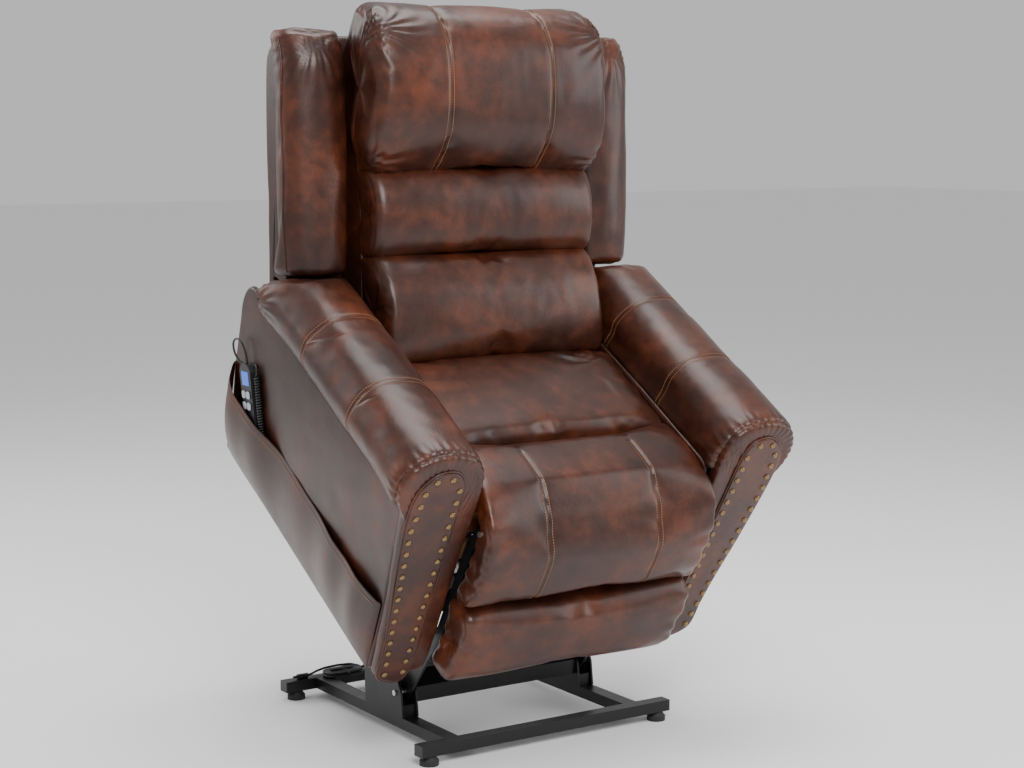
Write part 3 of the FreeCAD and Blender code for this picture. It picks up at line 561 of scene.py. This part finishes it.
HEADREST = [(112, 392), (58, 402), (22, 450), (2, 530), (4, 630), (28, 704), (66, 744), (104, 754),
            (132, 744), (134, 600), (132, 400)]
LUMBAR = [(112, 218), (62, 228), (40, 282), (42, 352), (72, 402), (112, 416), (132, 400), (132, 310),
          (130, 228)]
LOWER = [(110, 236), (58, 222), (16, 160), (0, 80), (6, 16), (44, -2), (124, 2), (132, 120), (128, 228)]
BACK_CORE = [(124, 60), (196, 170), (204, 400), (192, 620), (160, 690), (130, 700), (112, 400)]
HEAD_HALF = 283
HEAD_SEAM = 126


def arched(amount, half, level, reach):
    """Lift the parts of an outline near a level by an arch across the chair."""
    def shape(points):
        x, d, v = points.T
        near = np.clip(1 - np.abs(v - level) / reach, 0, 1)
        lift = amount * np.clip(1 - (x / half) ** 2, 0, 1) * near
        return np.column_stack([x, d, v + lift])
    return shape


def headrest_shape(points):
    """Arch the headrest's lower edge, round its top corners off and narrow it at top and bottom."""
    x, d, v = arched(12, HEAD_HALF, 398, 70)(points).T
    corner = np.clip((v - 620) / 130, 0, 1) ** 2
    v = v - 12 * corner * np.clip(np.abs(x) / HEAD_HALF, 0, 1) ** 4
    x = x * (1 - 0.03 * corner)
    waist = np.clip((480 - v) / 80, 0, 1)
    x = x * (1 - 0.03 * waist)
    return np.column_stack([x, d, v])


headrest = cover("headrest_cushion", smooth_loop(HEADREST, 9),
                 stations(-285, 285, 30, 13, (-HEAD_SEAM, HEAD_SEAM)), back, headrest_shape)
lumbar = cover("lumbar_cushion", smooth_loop(LUMBAR, 9), stations(-273, 273, 26, 13), back,
               arched(10, 276, 402, 50))
lower_back = cover("lower_back_cushion", smooth_loop(LOWER, 9), stations(-271, 271, 24, 13), back,
                   arched(8, 276, 226, 50))


def gathers(points, centre, reach, waves, amount, seed):
    """Short puckers fanning out from a corner, as a depth at each point."""
    away = points - centre
    distance = np.linalg.norm(away, axis=1) / MM
    turn = np.arctan2(away[:, 2], np.hypot(away[:, 0], away[:, 1]) * np.sign(away[:, 0] + 1e-9))
    ripple = np.cos(turn * waves + seed + 2.0 * drift(points, 18, seed))
    return amount * np.exp(-(distance / reach) ** 2) * ripple


for piece, node, firm in ((headrest, "headrest_cushion", 14), (lumbar, "lumbar_cushion", 10),
                          (lower_back, "lower_back_cushion", 12)):
    fill(piece, 2.4, 0.02, firm)
    refine(piece)
    where = coords_of(piece)
    relief = 1.2 * drift(where, 11, 3) + 0.5 * drift(where * (1, 1, 0.35), 46, 8)
    if piece is headrest:
        for side in (-1, 1):
            top = back(side * 270, 40, 690)
            relief = relief + gathers(where, top, 70, 22, 2.6, side + 2.0)
            foot = back(side * 262, 70, 420)
            relief = relief + gathers(where, foot, 60, 14, 2.4, side + 5.0)
    else:
        rib = np.cos((where[:, 0] / MM + 26 * drift(where, 9, 11)) / 17.0)
        crease_top = back(0, 60, 402 if piece is lumbar else 222)[2]
        crease_low = back(0, 60, 228 if piece is lumbar else 10)[2]
        near = np.minimum(np.abs(where[:, 2] - crease_top), np.abs(where[:, 2] - crease_low)) / MM
        relief = relief + 1.1 * rib * np.exp(-(near / 30) ** 2)
    press(piece, relief)
    finish_padded(piece, leather, "backrest", [node])

for side in (-1, 1):
    top_seam(headrest, back, side * HEAD_SEAM, (92, 580), (95, 262), f"headrest_stitches_{side + 1}")

back_core = cover("back_upholstery", smooth_loop(BACK_CORE, 14), stations(-272, 272, 14, 24), back)
refine(back_core)
back_core.data.materials.append(leather)
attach(back_core, "backrest")

# ---------------------------------------------------------------- wings and rear shell
# Two tall round-fronted wing pads, and behind them a flat padded shell closing the back.

WING = [(296, 206), (292, 160), (304, 124), (334, 108), (372, 106), (408, 118), (428, 150), (426, 206),
        (360, 208)]
WING_OUTER = 428.5
WING_BACK = 206
ROUNDED_FROM = 600
ROUNDED_RUN = 90


def wing_side(side):
    """The backrest frame for an outline that is carried up the wing."""
    def lay(v, x, d):
        return back(side * x, d, v)
    return lay


def wing_shape(points):
    """Lean the wing's front back towards its top, and a little towards its foot."""
    v, x, d = points.T
    top = np.clip((v - ROUNDED_FROM) / ROUNDED_RUN, 0, 1)
    d = d + 34 * top ** 2 * (WING_BACK - d) / 90
    low = np.clip((260 - v) / 80, 0, 1)
    d = d + 6 * low
    return np.column_stack([v, x, d])


for side, name in ((-1, "left"), (1, "right")):
    wing = cover(f"wing_pad_{name}", smooth_loop(WING, 8), stations(188, 692, 22, 14), wing_side(side),
                 wing_shape)
    fill(wing, 2.0, 0.02, 9)
    refine(wing)
    where = coords_of(wing)
    folds = 1.5 * drift(where * (1, 1, 0.25), 34, 5 + side) + 0.9 * drift(where, 20, 9)
    head = gathers(where, back(side * 372, 110, 680), 80, 26, 2.2, 3.0 + side)
    press(wing, folds + head)
    finish_padded(wing, leather, "backrest", [f"wing_pad_{name}"])
    level = np.linspace(196, 676, 60)
    edge = back(side * WING_OUTER, 152 + 22 * np.clip((level - ROUNDED_FROM) / ROUNDED_RUN, 0, 1) ** 2, level)
    surface = surface_of(wing)
    snug = np.array([np.array(surface.find_nearest(Vector(point))[0]) for point in edge])
    welt = tube(f"wing_welt_{name}", snug, 2.6, leather)
    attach(welt, "backrest")

# Below v = 150 the shell is only a thin flap, which hangs down behind the seat.
SHELL = [(206, 182), (262, 178), (276, 150), (277, 6), (284, 6), (287, 200), (286, 420), (282, 610),
         (268, 660), (240, 668), (206, 668), (204, 420)]
shell = cover("outer_back_shell", smooth_loop(SHELL, 12), stations(-400, 400, 9, 26), back)
refine(shell)
press(shell, 1.2 * drift(coords_of(shell), 9, 2))
finish_padded(shell, side_leather, "backrest", ["outer_back_shell"])

# ---------------------------------------------------------------- seat, chaise pad and footrest pad
# The seat cushion runs back under the lumbar; the chaise pad runs from the seat over the hinge and
# down the front; the footrest pad lies below it.

SEAT_PAD = [(172, 330), (172, 426), (190, 440), (300, 449), (410, 448), (448, 430), (500, 396), (500, 330),
            (330, 324)]
CHAISE_OUT = [(172, 340), (176, 432), (158, 446), (90, 452), (10, 446), (-34, 430), (-62, 398), (-74, 350),
              (-76, 290), (-70, 236), (-56, 213)]
CHAISE_IN = [(168, 326), (150, 324), (120, 324), (70, 324), (30, 330), (10, 400), (-8, 392), (-15.5, 345),
             (-15.5, 290), (-15.5, 240), (-16, 213)]
FOOT_PAD = [(-8, 36), (-6, 120), (-8, 204), (-44, 210), (-74, 202), (-90, 172), (-90, 110), (-86, 64),
            (-68, 28), (-36, 20)]
CHAISE_SEAM = 134
CHAISE_POINTS = 66


def open_curve(points, count):
    """A curve through a few points from the first to the last, as evenly spaced points."""
    knots = np.array(points, float)
    padded_knots = np.vstack([2 * knots[0] - knots[1], knots, 2 * knots[-1] - knots[-2]])
    fine = []
    for i in range(len(knots) - 1):
        fine += span(*padded_knots[i:i + 4])
    fine = np.array(fine + [knots[-1]])
    run = distances(fine)
    spots = np.linspace(0, run[-1], count)
    return np.stack([np.interp(spots, run, fine[:, 0]), np.interp(spots, run, fine[:, 1])], axis=-1)


def end_pleats(points, half, reach, slope, pitch, seed):
    """Pleats across the ends of a pad, which die out towards its middle: 1 on a fold, -1 beside it."""
    x, y, z = points.T / MM
    ends = np.exp(-((half - np.abs(x)) / reach) ** 2)
    return ends * np.cos((z - y * slope) / pitch + 3 * drift(points, 14, seed))


seat_cushion = cover("seat_cushion", smooth_loop(SEAT_PAD, 10), stations(-279, 279, 11, 13), seat)
fill(seat_cushion, 2.2, 0.02, 12)
refine(seat_cushion)
where = coords_of(seat_cushion)
press(seat_cushion, 1.3 * drift(where, 9, 4) + gathers(where, seat(200, 400, 445), 110, 12, 1.8, 2.0))
finish_padded(seat_cushion, leather, "chair", ["seat_cushion"])

outer_side = open_curve(CHAISE_OUT, CHAISE_POINTS)
inner_side = open_curve(CHAISE_IN, CHAISE_POINTS)
half_way = (outer_side + inner_side) / 2
chaise_loop = np.vstack([outer_side, inner_side[::-1]])
chaise_spine = np.vstack([half_way, half_way[::-1]])
chaise = cover("chaise_pad", chaise_loop, stations(-278, 278, 16, 13, (-CHAISE_SEAM, CHAISE_SEAM)), seat,
               None, chaise_spine)
fill(chaise, 2.2, 0.02, 12)
refine(chaise)
where = coords_of(chaise)
press(chaise, 1.2 * drift(where, 8, 7) + 1.8 * end_pleats(where, 276, 46, 0.6, 8.5, 6))
chaise.data.materials.clear()
chaise.data.materials.append(leather)
for side in (-1, 1):
    top_seam(chaise, seat, side * CHAISE_SEAM, (60, 300), (75, 222), f"chaise_stitches_{side + 1}")
chaise_rows = [child for child in bpy.data.objects if child.name.startswith("chaise_stitches")]
for piece in [chaise] + chaise_rows:
    piece.parent = None
    tuple(seat(0, 20, 430))
    tuple(seat(0, -30, 372))
    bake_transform(piece)
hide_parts("seat_front_pad", "legrest_upper_pad")

foot_pad = cover("footrest_pad", smooth_loop(FOOT_PAD, 8), stations(-275, 275, 20, 13), seat)
fill(foot_pad, 2.2, 0.02, 8)
refine(foot_pad)
where = coords_of(foot_pad)
press(foot_pad, 1.3 * drift(where, 12, 5) + 1.8 * end_pleats(where, 275, 34, 0.4, 7.5, 2))
finish_padded(foot_pad, leather, "legrest", ["legrest_lower_pad"])

# ---------------------------------------------------------------- arms
# Each arm: a padded roll sewn in three lengths, a gathered front edge, a raised nailed panel, a
# leaning outer panel, and the inner panel beside the seat.

ROLL = [(282, 446), (288, 482), (298, 522), (326, 553), (366, 566), (420, 564), (462, 540), (482, 500),
        (476, 462), (450, 440), (372, 442)]
FRONT = [(281, 4), (340, 2), (397, 2), (410, 110), (422, 230), (436, 320), (448, 400), (452, 436), (474, 462),
         (480, 500), (462, 540), (420, 562), (372, 566), (322, 552), (296, 520), (290, 460), (284, 230)]
NAILED = [(326, 8), (390, 8), (398, 76), (406, 144), (424, 260), (440, 369), (446, 440), (441, 486),
          (420, 517), (389, 531), (358, 523), (342, 496), (337, 440), (334, 340), (328, 200)]
PANEL_LEAN = math.radians(6)
PANEL_FOOT = 397
ROLL_FRONT = 4
ROLL_BACK = 662
ROLL_HUB = (388, 470)
ROLL_SEAMS = (440, 225)
SEAT_BACKWARD = seat(0, 1000, 0) - seat(0, 0, 0)
SEAT_UPWARD = seat(0, 0, 1000) - seat(0, 0, 0)


def side_seat(side):
    """The seat frame for an outline that is carried back along one arm."""
    def lay(b, x, u):
        return seat(side * x, b, u)
    return lay


def panel(side, inward, b, s):
    """The leaning outer panel's own frame, inward from its outer face."""
    x = PANEL_FOOT - inward * math.cos(PANEL_LEAN) + s * math.sin(PANEL_LEAN)
    u = inward * math.sin(PANEL_LEAN) + s * math.cos(PANEL_LEAN)
    return seat(side * x, b, u)


def roll_shape(points):
    """Slope the roll's rear end forwards towards its top."""
    b, x, u = points.T
    limit = np.where(u > 505, ROLL_BACK - (u - 505) * 1.25, ROLL_BACK - np.clip(505 - u, 0, 60) * 0.12)
    share = (b - ROLL_FRONT) / (ROLL_BACK - ROLL_FRONT)
    return np.column_stack([ROLL_FRONT + share * (limit - ROLL_FRONT), x, u])


def spokes(points, side):
    """Gathers that run out from the roll's middle: 1 on a fold, -1 beside it."""
    away = points - seat(side * ROLL_HUB[0], 0, ROLL_HUB[1])
    turn = np.arctan2(away[:, 0], away @ SEAT_UPWARD)
    return np.cos(turn * 34 + 2.2 * drift(points, 26, 3 + side))


def pillow(name, outline, low, high, crown, lay, rings=9):
    """A flat upholstered panel: its outline carried from low to high and crowned to the middle."""
    outline = np.asarray(outline)
    centre = outline.mean(axis=0)
    half = np.linalg.norm(outline - centre, axis=1)
    edge = high - low
    rows = [centre + (outline - centre) * 0.55, outline, outline]
    heights = [low, low, low + edge * 0.5]
    rounding = ((0.10, low + edge * 0.80), (0.35, high - edge * 0.04), (0.80, high))
    for inset, height in rounding:
        rows.append(centre + (outline - centre) * (1 - edge * inset / half)[:, None])
        heights.append(height)
    rim = rows[-1]
    for share in np.linspace(0.93, 0.04, rings):
        rows.append(centre + (rim - centre) * share)
        heights.append(high + crown * (1 - share ** 2))
    count = len(outline)
    points = np.vstack([np.column_stack([np.full(count, h), r]) for r, h in zip(rows, heights)])
    faces = []
    for r in range(len(rows) - 1):
        for k in range(count):
            n = (k + 1) % count
            faces.append((r * count + k, r * count + n, (r + 1) * count + n, (r + 1) * count + k))
    faces.append(tuple(range(count)))
    faces.append(tuple((len(rows) - 1) * count + k for k in range(count)))
    mesh = bpy.data.meshes.new(name)
    coords = lay(points[:, 0], points[:, 1], points[:, 2])
    mesh.from_pydata(coords.tolist(), [], faces)
    piece = bpy.data.objects.new(name, mesh)
    bpy.context.collection.objects.link(piece)
    bpy.ops.object.select_all(action="DESELECT")
    bpy.context.view_layer.objects.active = piece
    piece.select_set(True)
    bpy.ops.object.mode_set(mode="EDIT")
    bpy.ops.mesh.select_all(action="SELECT")
    bpy.ops.mesh.normals_make_consistent(inside=False)
    bpy.ops.object.mode_set(mode="OBJECT")
    mesh.polygons.foreach_set("use_smooth", [True] * len(mesh.polygons))
    return piece


INNER_PANEL = [(16, 60), (560, 60), (590, 300), (590, 446), (300, 452), (16, 450), (14, 250)]
OUTER_PANEL = [(14, 2), (300, 1), (600, 1), (746, 4), (766, 200), (779, 380), (770, 420), (742, 450),
               (676, 446), (600, 436), (300, 436), (14, 436), (13, 220)]


def straight_loop(points, step):
    """A closed outline of straight runs as evenly spaced points, its corners eased."""
    knots = np.array(points, float)
    fine = np.vstack([np.linspace(a, b, max(2, int(np.linalg.norm(b - a) / step)), endpoint=False)
                      for a, b in zip(knots, np.roll(knots, -1, axis=0))])
    for _ in range(3):
        fine = (np.roll(fine, 1, axis=0) + 2 * fine + np.roll(fine, -1, axis=0)) / 4
    return fine


def arm_roll(side, name):
    lay = side_seat(side)
    roll = cover(f"arm_roll_{name}", smooth_loop(ROLL, 9),
                 stations(ROLL_FRONT, ROLL_BACK, 22, 14, ROLL_SEAMS), lay, roll_shape)
    fill(roll, 2.2, 0.02, 7)
    refine(roll)
    where = coords_of(roll)
    from_front = np.clip((where - seat(0, 4, 500)) @ SEAT_BACKWARD, 0, 1) / MM
    pleat = spokes(where, side) * np.exp(-(from_front / 26) ** 2)
    tail = gathers(where, seat(side * 470, 640, 470), 60, 16, 2.0, 4.0)
    press(roll, 1.5 * pleat + 1.3 * drift(where, 11, 5 + side) + 0.8 * drift(where, 30, 9) + tail)
    finish_padded(roll, leather, "chair", [f"arm_roll_{name}"])
    for number, b in enumerate(ROLL_SEAMS):
        top_seam(roll, lay, b, (388, 500), (-60, 235), f"arm_stitches_{name}_{number}", 6.0, 1.8)


def arm_front(side, name):
    """The gathered front board, the raised panel on it and the welt round that panel."""
    def lay(h, x, u):
        return seat(side * x, -h, u)

    front = pillow(f"arm_front_{name}", straight_loop(FRONT, 9), -15.0, 9.0, 1.0, lay)
    refine(front)
    where = coords_of(front)
    level = (where - seat(0, 0, ROLL_HUB[1])) @ SEAT_UPWARD / MM
    pleat = spokes(where, side) * np.clip((level + 40) / 50, 0, 1)
    press(front, 1.2 * pleat + 0.6 * drift(where, 20, 8))
    finish_padded(front, leather, "chair", [f"arm_front_{name}"])

    nailed = pillow(f"arm_front_panel_{name}", smooth_loop(NAILED, 7), 7.6, 14.9, 0.3, lay)
    refine(nailed)
    press(nailed, 0.35 * drift(coords_of(nailed), 30, 6))
    finish_padded(nailed, leather, "chair", [f"arm_front_panel_{name}"])
    rim = smooth_loop(NAILED, 6)
    outward = rim - rim.mean(axis=0)
    rim = rim + outward / np.linalg.norm(outward, axis=1)[:, None] * 2.2
    rim = np.vstack([rim, rim[:1]])
    welt = tube(f"arm_front_welt_{name}", seat(side * rim[:, 0], -10.5, rim[:, 1]), 2.4, leather)
    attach(welt, "chair")


def arm_sides(side, name):
    """The leather over the inner board, and the padded outer panel."""
    def inner_lay(h, b, u):
        return seat(-side * h, b, u)

    def outer_lay(h, b, s):
        return panel(side, -h, b, s)

    inner = pillow(f"arm_inner_panel_{name}", straight_loop(INNER_PANEL, 14), -293.0, -280.5, 3.0,
                   inner_lay, 10)
    refine(inner)
    press(inner, 0.9 * drift(coords_of(inner), 12, 4))
    inner.data.materials.append(leather)
    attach(inner, "chair")
    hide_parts("arm_inner_panels")

    outer = pillow(f"side_panel_{name}", straight_loop(OUTER_PANEL, 12), -12.0, 1.5, 7.0, outer_lay, 16)
    refine(outer)
    where = coords_of(outer)
    press(outer, 1.6 * drift(where, 7, 3 + side) + 0.7 * drift(where, 19, 5))
    finish_padded(outer, side_leather, "chair", [f"side_panel_{name}"])


for side, name in ((-1, "left"), (1, "right")):
    arm_roll(side, name)
    arm_front(side, name)
    arm_sides(side, name)

SKIRT = [(-380, 15), (-190, 15), (0, 15), (190, 15), (380, 15), (391, 120), (402, 234), (200, 234), (0, 234),
         (-200, 234), (-402, 234), (-391, 120)]
skirt = pillow("rear_skirt_panel", straight_loop(SKIRT, 12), -5.5, 6.5, 3.0,
               lambda h, x, u: seat(x, 736 + h, u))
refine(skirt)
press(skirt, 0.8 * drift(coords_of(skirt), 9, 12))
finish_padded(skirt, side_leather, "chair", ["rear_skirt_panel"])

# ---------------------------------------------------------------- side pocket
# A soft open pouch hung on the left outer panel, with a folded hem that stands open round the
# hand control.

POCKET_TOP = [(18, 186), (60, 188), (200, 189), (380, 190), (560, 193), (640, 198), (716, 208), (764, 236)]
POCKET_FOOT = 5
POCKET_COLUMNS = 110
POCKET_ROWS = 34


def pocket_pouch():
    along = np.linspace(0, 1, POCKET_COLUMNS)
    top = open_curve(POCKET_TOP, POCKET_COLUMNS)
    low_b = np.linspace(22, 748, POCKET_COLUMNS)
    points = np.empty((POCKET_ROWS, POCKET_COLUMNS, 3))
    for row, share in enumerate(np.linspace(0, 1, POCKET_ROWS)):
        b = low_b + (top[:, 0] - low_b) * share
        s = POCKET_FOOT + (top[:, 1] - POCKET_FOOT) * share
        ends = np.clip(np.minimum(along, 1 - along) / 0.05, 0, 1) ** 0.6
        open_hem = 10 + 19 * np.exp(-((b - 650) / 120) ** 2) + 5 * np.sin(b / 95)
        bag = np.sin(math.pi * min(share * 0.62, 0.5)) ** 0.7
        fold = 2.6 * np.cos(b / 21 + 2.2 * np.sin(b / 130)) * math.sin(math.pi * share * 0.8)
        out = 2 + ends * (open_hem * bag + 4 * math.sin(math.pi * share) + fold * ends)
        points[row] = np.column_stack([out, b, s])
    flat = points.reshape(-1, 3)
    bpy.ops.object.select_all(action="DESELECT")
    bpy.ops.mesh.primitive_grid_add(x_subdivisions=POCKET_COLUMNS - 1, y_subdivisions=POCKET_ROWS - 1, size=1)
    pouch = bpy.context.object
    pouch.name = "side_pocket"
    pouch.data.vertices.foreach_set("co", panel(-1, -flat[:, 0], flat[:, 1], flat[:, 2]).ravel())
    pouch.data.polygons.foreach_set("use_smooth", [True] * len(pouch.data.polygons))
    thick = pouch.modifiers.new("thickness", "SOLIDIFY")
    thick.thickness = 0.0018
    thick.offset = 0
    bpy.ops.object.modifier_apply(modifier=thick.name)
    refine(pouch)
    pouch.data.materials.append(side_leather)
    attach(pouch, "chair")
    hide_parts("side_pocket")
    hem = panel(-1, -points[-2, :, 0] - 1.6, points[-2, :, 1], points[-2, :, 2] - 9)
    outward = np.tile(panel(-1, -1000, 0, 0) - panel(-1, 0, 0, 0), (POCKET_COLUMNS, 1))
    row = stitches("pocket_hem_stitches", [(hem[2:-2], outward[2:-2])])
    row.parent = pouch


pocket_pouch()

# ---------------------------------------------------------------- leads
# The hand control's lead, its curly part, and the power lead on the base.


def lead_finish(name, colour, rough):
    finish = Finish(name)
    finish.surface(Base_Color=colour, Roughness=rough)
    return finish.material


rubber = lead_finish("lead_sheath", (0.008, 0.008, 0.009, 1), 0.42)


def route(name, path, diameter):
    """A round lead along its middle line, as a curve that can be followed."""
    curve = bpy.data.curves.new(name, "CURVE")
    curve.dimensions = "3D"
    curve.bevel_depth = diameter / 2
    curve.bevel_resolution = 4
    curve.use_fill_caps = True
    curve.resolution_u = 8
    line = curve.splines.new("NURBS")
    line.points.add(len(path) - 1)
    for point, spot in zip(line.points, path):
        point.co = (*spot, 1)
    line.order_u = 3
    line.use_endpoint_u = True
    lead = bpy.data.objects.new(name, curve)
    bpy.context.collection.objects.link(lead)
    curve.materials.append(rubber)
    return lead


def run_length(path):
    return float(np.sum(np.linalg.norm(np.diff(np.asarray(path), axis=0), axis=1)))


HANDSET_ROUTE = [(16, 684, 286), (16, 691, 299), (17, 704, 312), (18, 722, 319), (19, 741, 314),
                 (20, 753, 298), (19, 751, 280), (16, 738, 266), (12, 719, 263), (9, 701, 268),
                 (7, 685, 280), (6, 669, 292), (8, 655, 300), (12, 645, 298), (14, 638, 289)]
handset_path = [panel(-1, -out, b, s) for out, b, s in HANDSET_ROUTE]
handset_lead = route("handset_lead", handset_path, 0.0046)
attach(handset_lead, "chair")
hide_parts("handset_lead")

CURL_RADIUS = 5.0
CURL_PITCH = 5.8
CURLY_ROUTE = [(14, 638, 289), (14, 617, 253), (14.5, 597, 218), (15, 576, 183), (15, 554, 150)]
curly_path = even(np.array([panel(-1, -out, b, s) for out, b, s in CURLY_ROUTE]), 0.4)
along = np.gradient(curly_path, axis=0)
along /= np.linalg.norm(along, axis=1)[:, None]
sideways = np.cross(along, (1, 0, 0))
sideways /= np.linalg.norm(sideways, axis=1)[:, None]
third_way = np.cross(along, sideways)
run = np.linspace(0, run_length(curly_path), len(curly_path))
turn = run / (CURL_PITCH * MM) * 2 * math.pi
ease = np.clip(np.minimum(run, run[-1] - run) / 0.006, 0, 1)
coil = curly_path + (np.cos(turn) * CURL_RADIUS * MM * ease)[:, None] * sideways \
    + (np.sin(turn) * CURL_RADIUS * MM * ease)[:, None] * third_way
curly = tube("handset_curly_lead", coil, 2.2, rubber)
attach(curly, "chair")
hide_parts("handset_curly_lead")

# The power lead leaves its socket on the rear tube, is folded into a flat two-layer hank, and ends in
# its plug beside it.
LEAD_WIDE = 5.6
HANK_CENTRE = (-178.0, 561.0)
HANK_TURNS = 3
HANK_STEPS = 48
HANK_PITCH = 5.8
HANK_OUTER_BEND = 26.2
HANK_HALF_STRAIGHT = 23
HANK_LAYERS = (47.1, 52.9)
FRONT_FEET_Y = -216.0


def on_base(x, y, z):
    return np.array((x, y + FRONT_FEET_Y, z)) * MM


power_path = [(-98, 579, 52), (-106, 579, 52), (-114, 578, 51), (-122, 574, 49.4), (-127, 568, 47.8)]
for layer, level in enumerate(HANK_LAYERS):
    for step in range(HANK_TURNS * HANK_STEPS):
        done = step / HANK_STEPS
        drawn_in = done
        rise = HANK_PITCH * np.clip((done - HANK_TURNS + 0.3) / 0.3, 0, 1)
        if layer == 1:
            drawn_in = HANK_TURNS - done
            rise = 0
        bend = HANK_OUTER_BEND - HANK_PITCH * drawn_in
        angle = 2 * math.pi * (done - int(done))
        straight = HANK_HALF_STRAIGHT * np.clip(2.2 * math.cos(angle), -1, 1)
        power_path.append((HANK_CENTRE[0] + straight + bend * math.cos(angle),
                           HANK_CENTRE[1] - bend * math.sin(angle), level + rise))
power_path += [(-129, 562, 53.2), (-131, 572, 54.5), (-142, 590, 56), (-170, 597, 56), (-205, 597, 54.5),
               (-232, 590, 52), (-247, 582, 50), (-259, 579, 49.6)]
power_points = even(np.array([on_base(*spot) for spot in power_path]), 2.5)
for _ in range(3):
    power_points[1:-1] = (power_points[:-2] + 2 * power_points[1:-1] + power_points[2:]) / 4
power_lead = tube("power_lead", power_points, LEAD_WIDE / 2, rubber)
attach(power_lead, "base")
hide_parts("power_lead", "power_lead_hank")
tie_loop = [on_base(HANK_CENTRE[0] + 1.5 * math.sin(a), 547.5 - 17.5 * math.cos(a), 50 + 7.0 * math.sin(a))
            for a in np.linspace(0, 2 * math.pi, 33)]
tie = tube("power_lead_tie", np.array(tie_loop), 1.2, rubber)
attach(tie, "base")

# The round curve cuts the corners of its points, so it is 0.975 times as long as they are.
run_length(even(np.array(handset_path), 2)) * 0.975
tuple(coil[0])
on_base(-98, 579, 52)

# ---------------------------------------------------------------- metal, plastic and wood
# Black satin steel base and mechanism, antique brass nails, chromed rods, dark plastic handset.


def hard_finish(name, colour, metal, rough, scale=60.0, strength=0.05):
    """A hard surface with a faint mottle in its gloss and relief."""
    finish = Finish(name)
    spot = finish.node("ShaderNodeTexCoord", output="Object")
    mottle = finish.node("ShaderNodeTexNoise", inputs={"Vector": spot, "Scale": scale, "Detail": 4.0})
    bump = finish.node("ShaderNodeBump", inputs={"Height": mottle, "Strength": strength, "Distance": 0.0006})
    finish.surface(Base_Color=colour, Metallic=metal, Roughness=rough - 0.07 + mottle * 0.14, Normal=bump)
    return finish.material


black_steel = hard_finish("black_steel", (0.012, 0.012, 0.013, 1), 0.35, 0.36)
bright_steel = hard_finish("bright_steel", (0.55, 0.55, 0.56, 1), 1.0, 0.34)
chrome = hard_finish("chromed_rod", (0.72, 0.72, 0.74, 1), 1.0, 0.14)
black_plastic = hard_finish("black_plastic", (0.012, 0.012, 0.014, 1), 0.0, 0.42, 400.0, 0.1)
key_plastic = hard_finish("key_plastic", (0.42, 0.45, 0.5, 1), 0.0, 0.4)
foot_rubber = hard_finish("foot_rubber", (0.014, 0.014, 0.014, 1), 0.0, 0.7, 300.0, 0.1)
brass = hard_finish("antique_brass", (0.24, 0.155, 0.075, 1), 0.95, 0.33, 500.0, 0.12)
plywood = hard_finish("plywood", (0.20, 0.125, 0.062, 1), 0.0, 0.6, 30.0, 0.1)
window = lead_finish("window_plastic", (0.02, 0.07, 0.30, 1), 0.2)
window_shader = window.node_tree.nodes["Principled BSDF"]
window_shader.inputs["Emission Color"].default_value = (0.03, 0.16, 0.75, 1)
window_shader.inputs["Emission Strength"].default_value = 0.8
finishes = {"leather": leather, "black_steel": black_steel, "bright_steel": bright_steel,
            "chromed_rod": chrome, "black_plastic": black_plastic, "key_plastic": key_plastic,
            "window_plastic": window, "foot_rubber": foot_rubber, "lead_sheath": rubber,
            "plywood": plywood, "antique_brass": brass}
for row in frame["record"]["subparts"]:
    part = frame["nodes"][row["node"]]
    part.data.materials.clear()
    part.data.materials.append(finishes[row["material_slot"]])
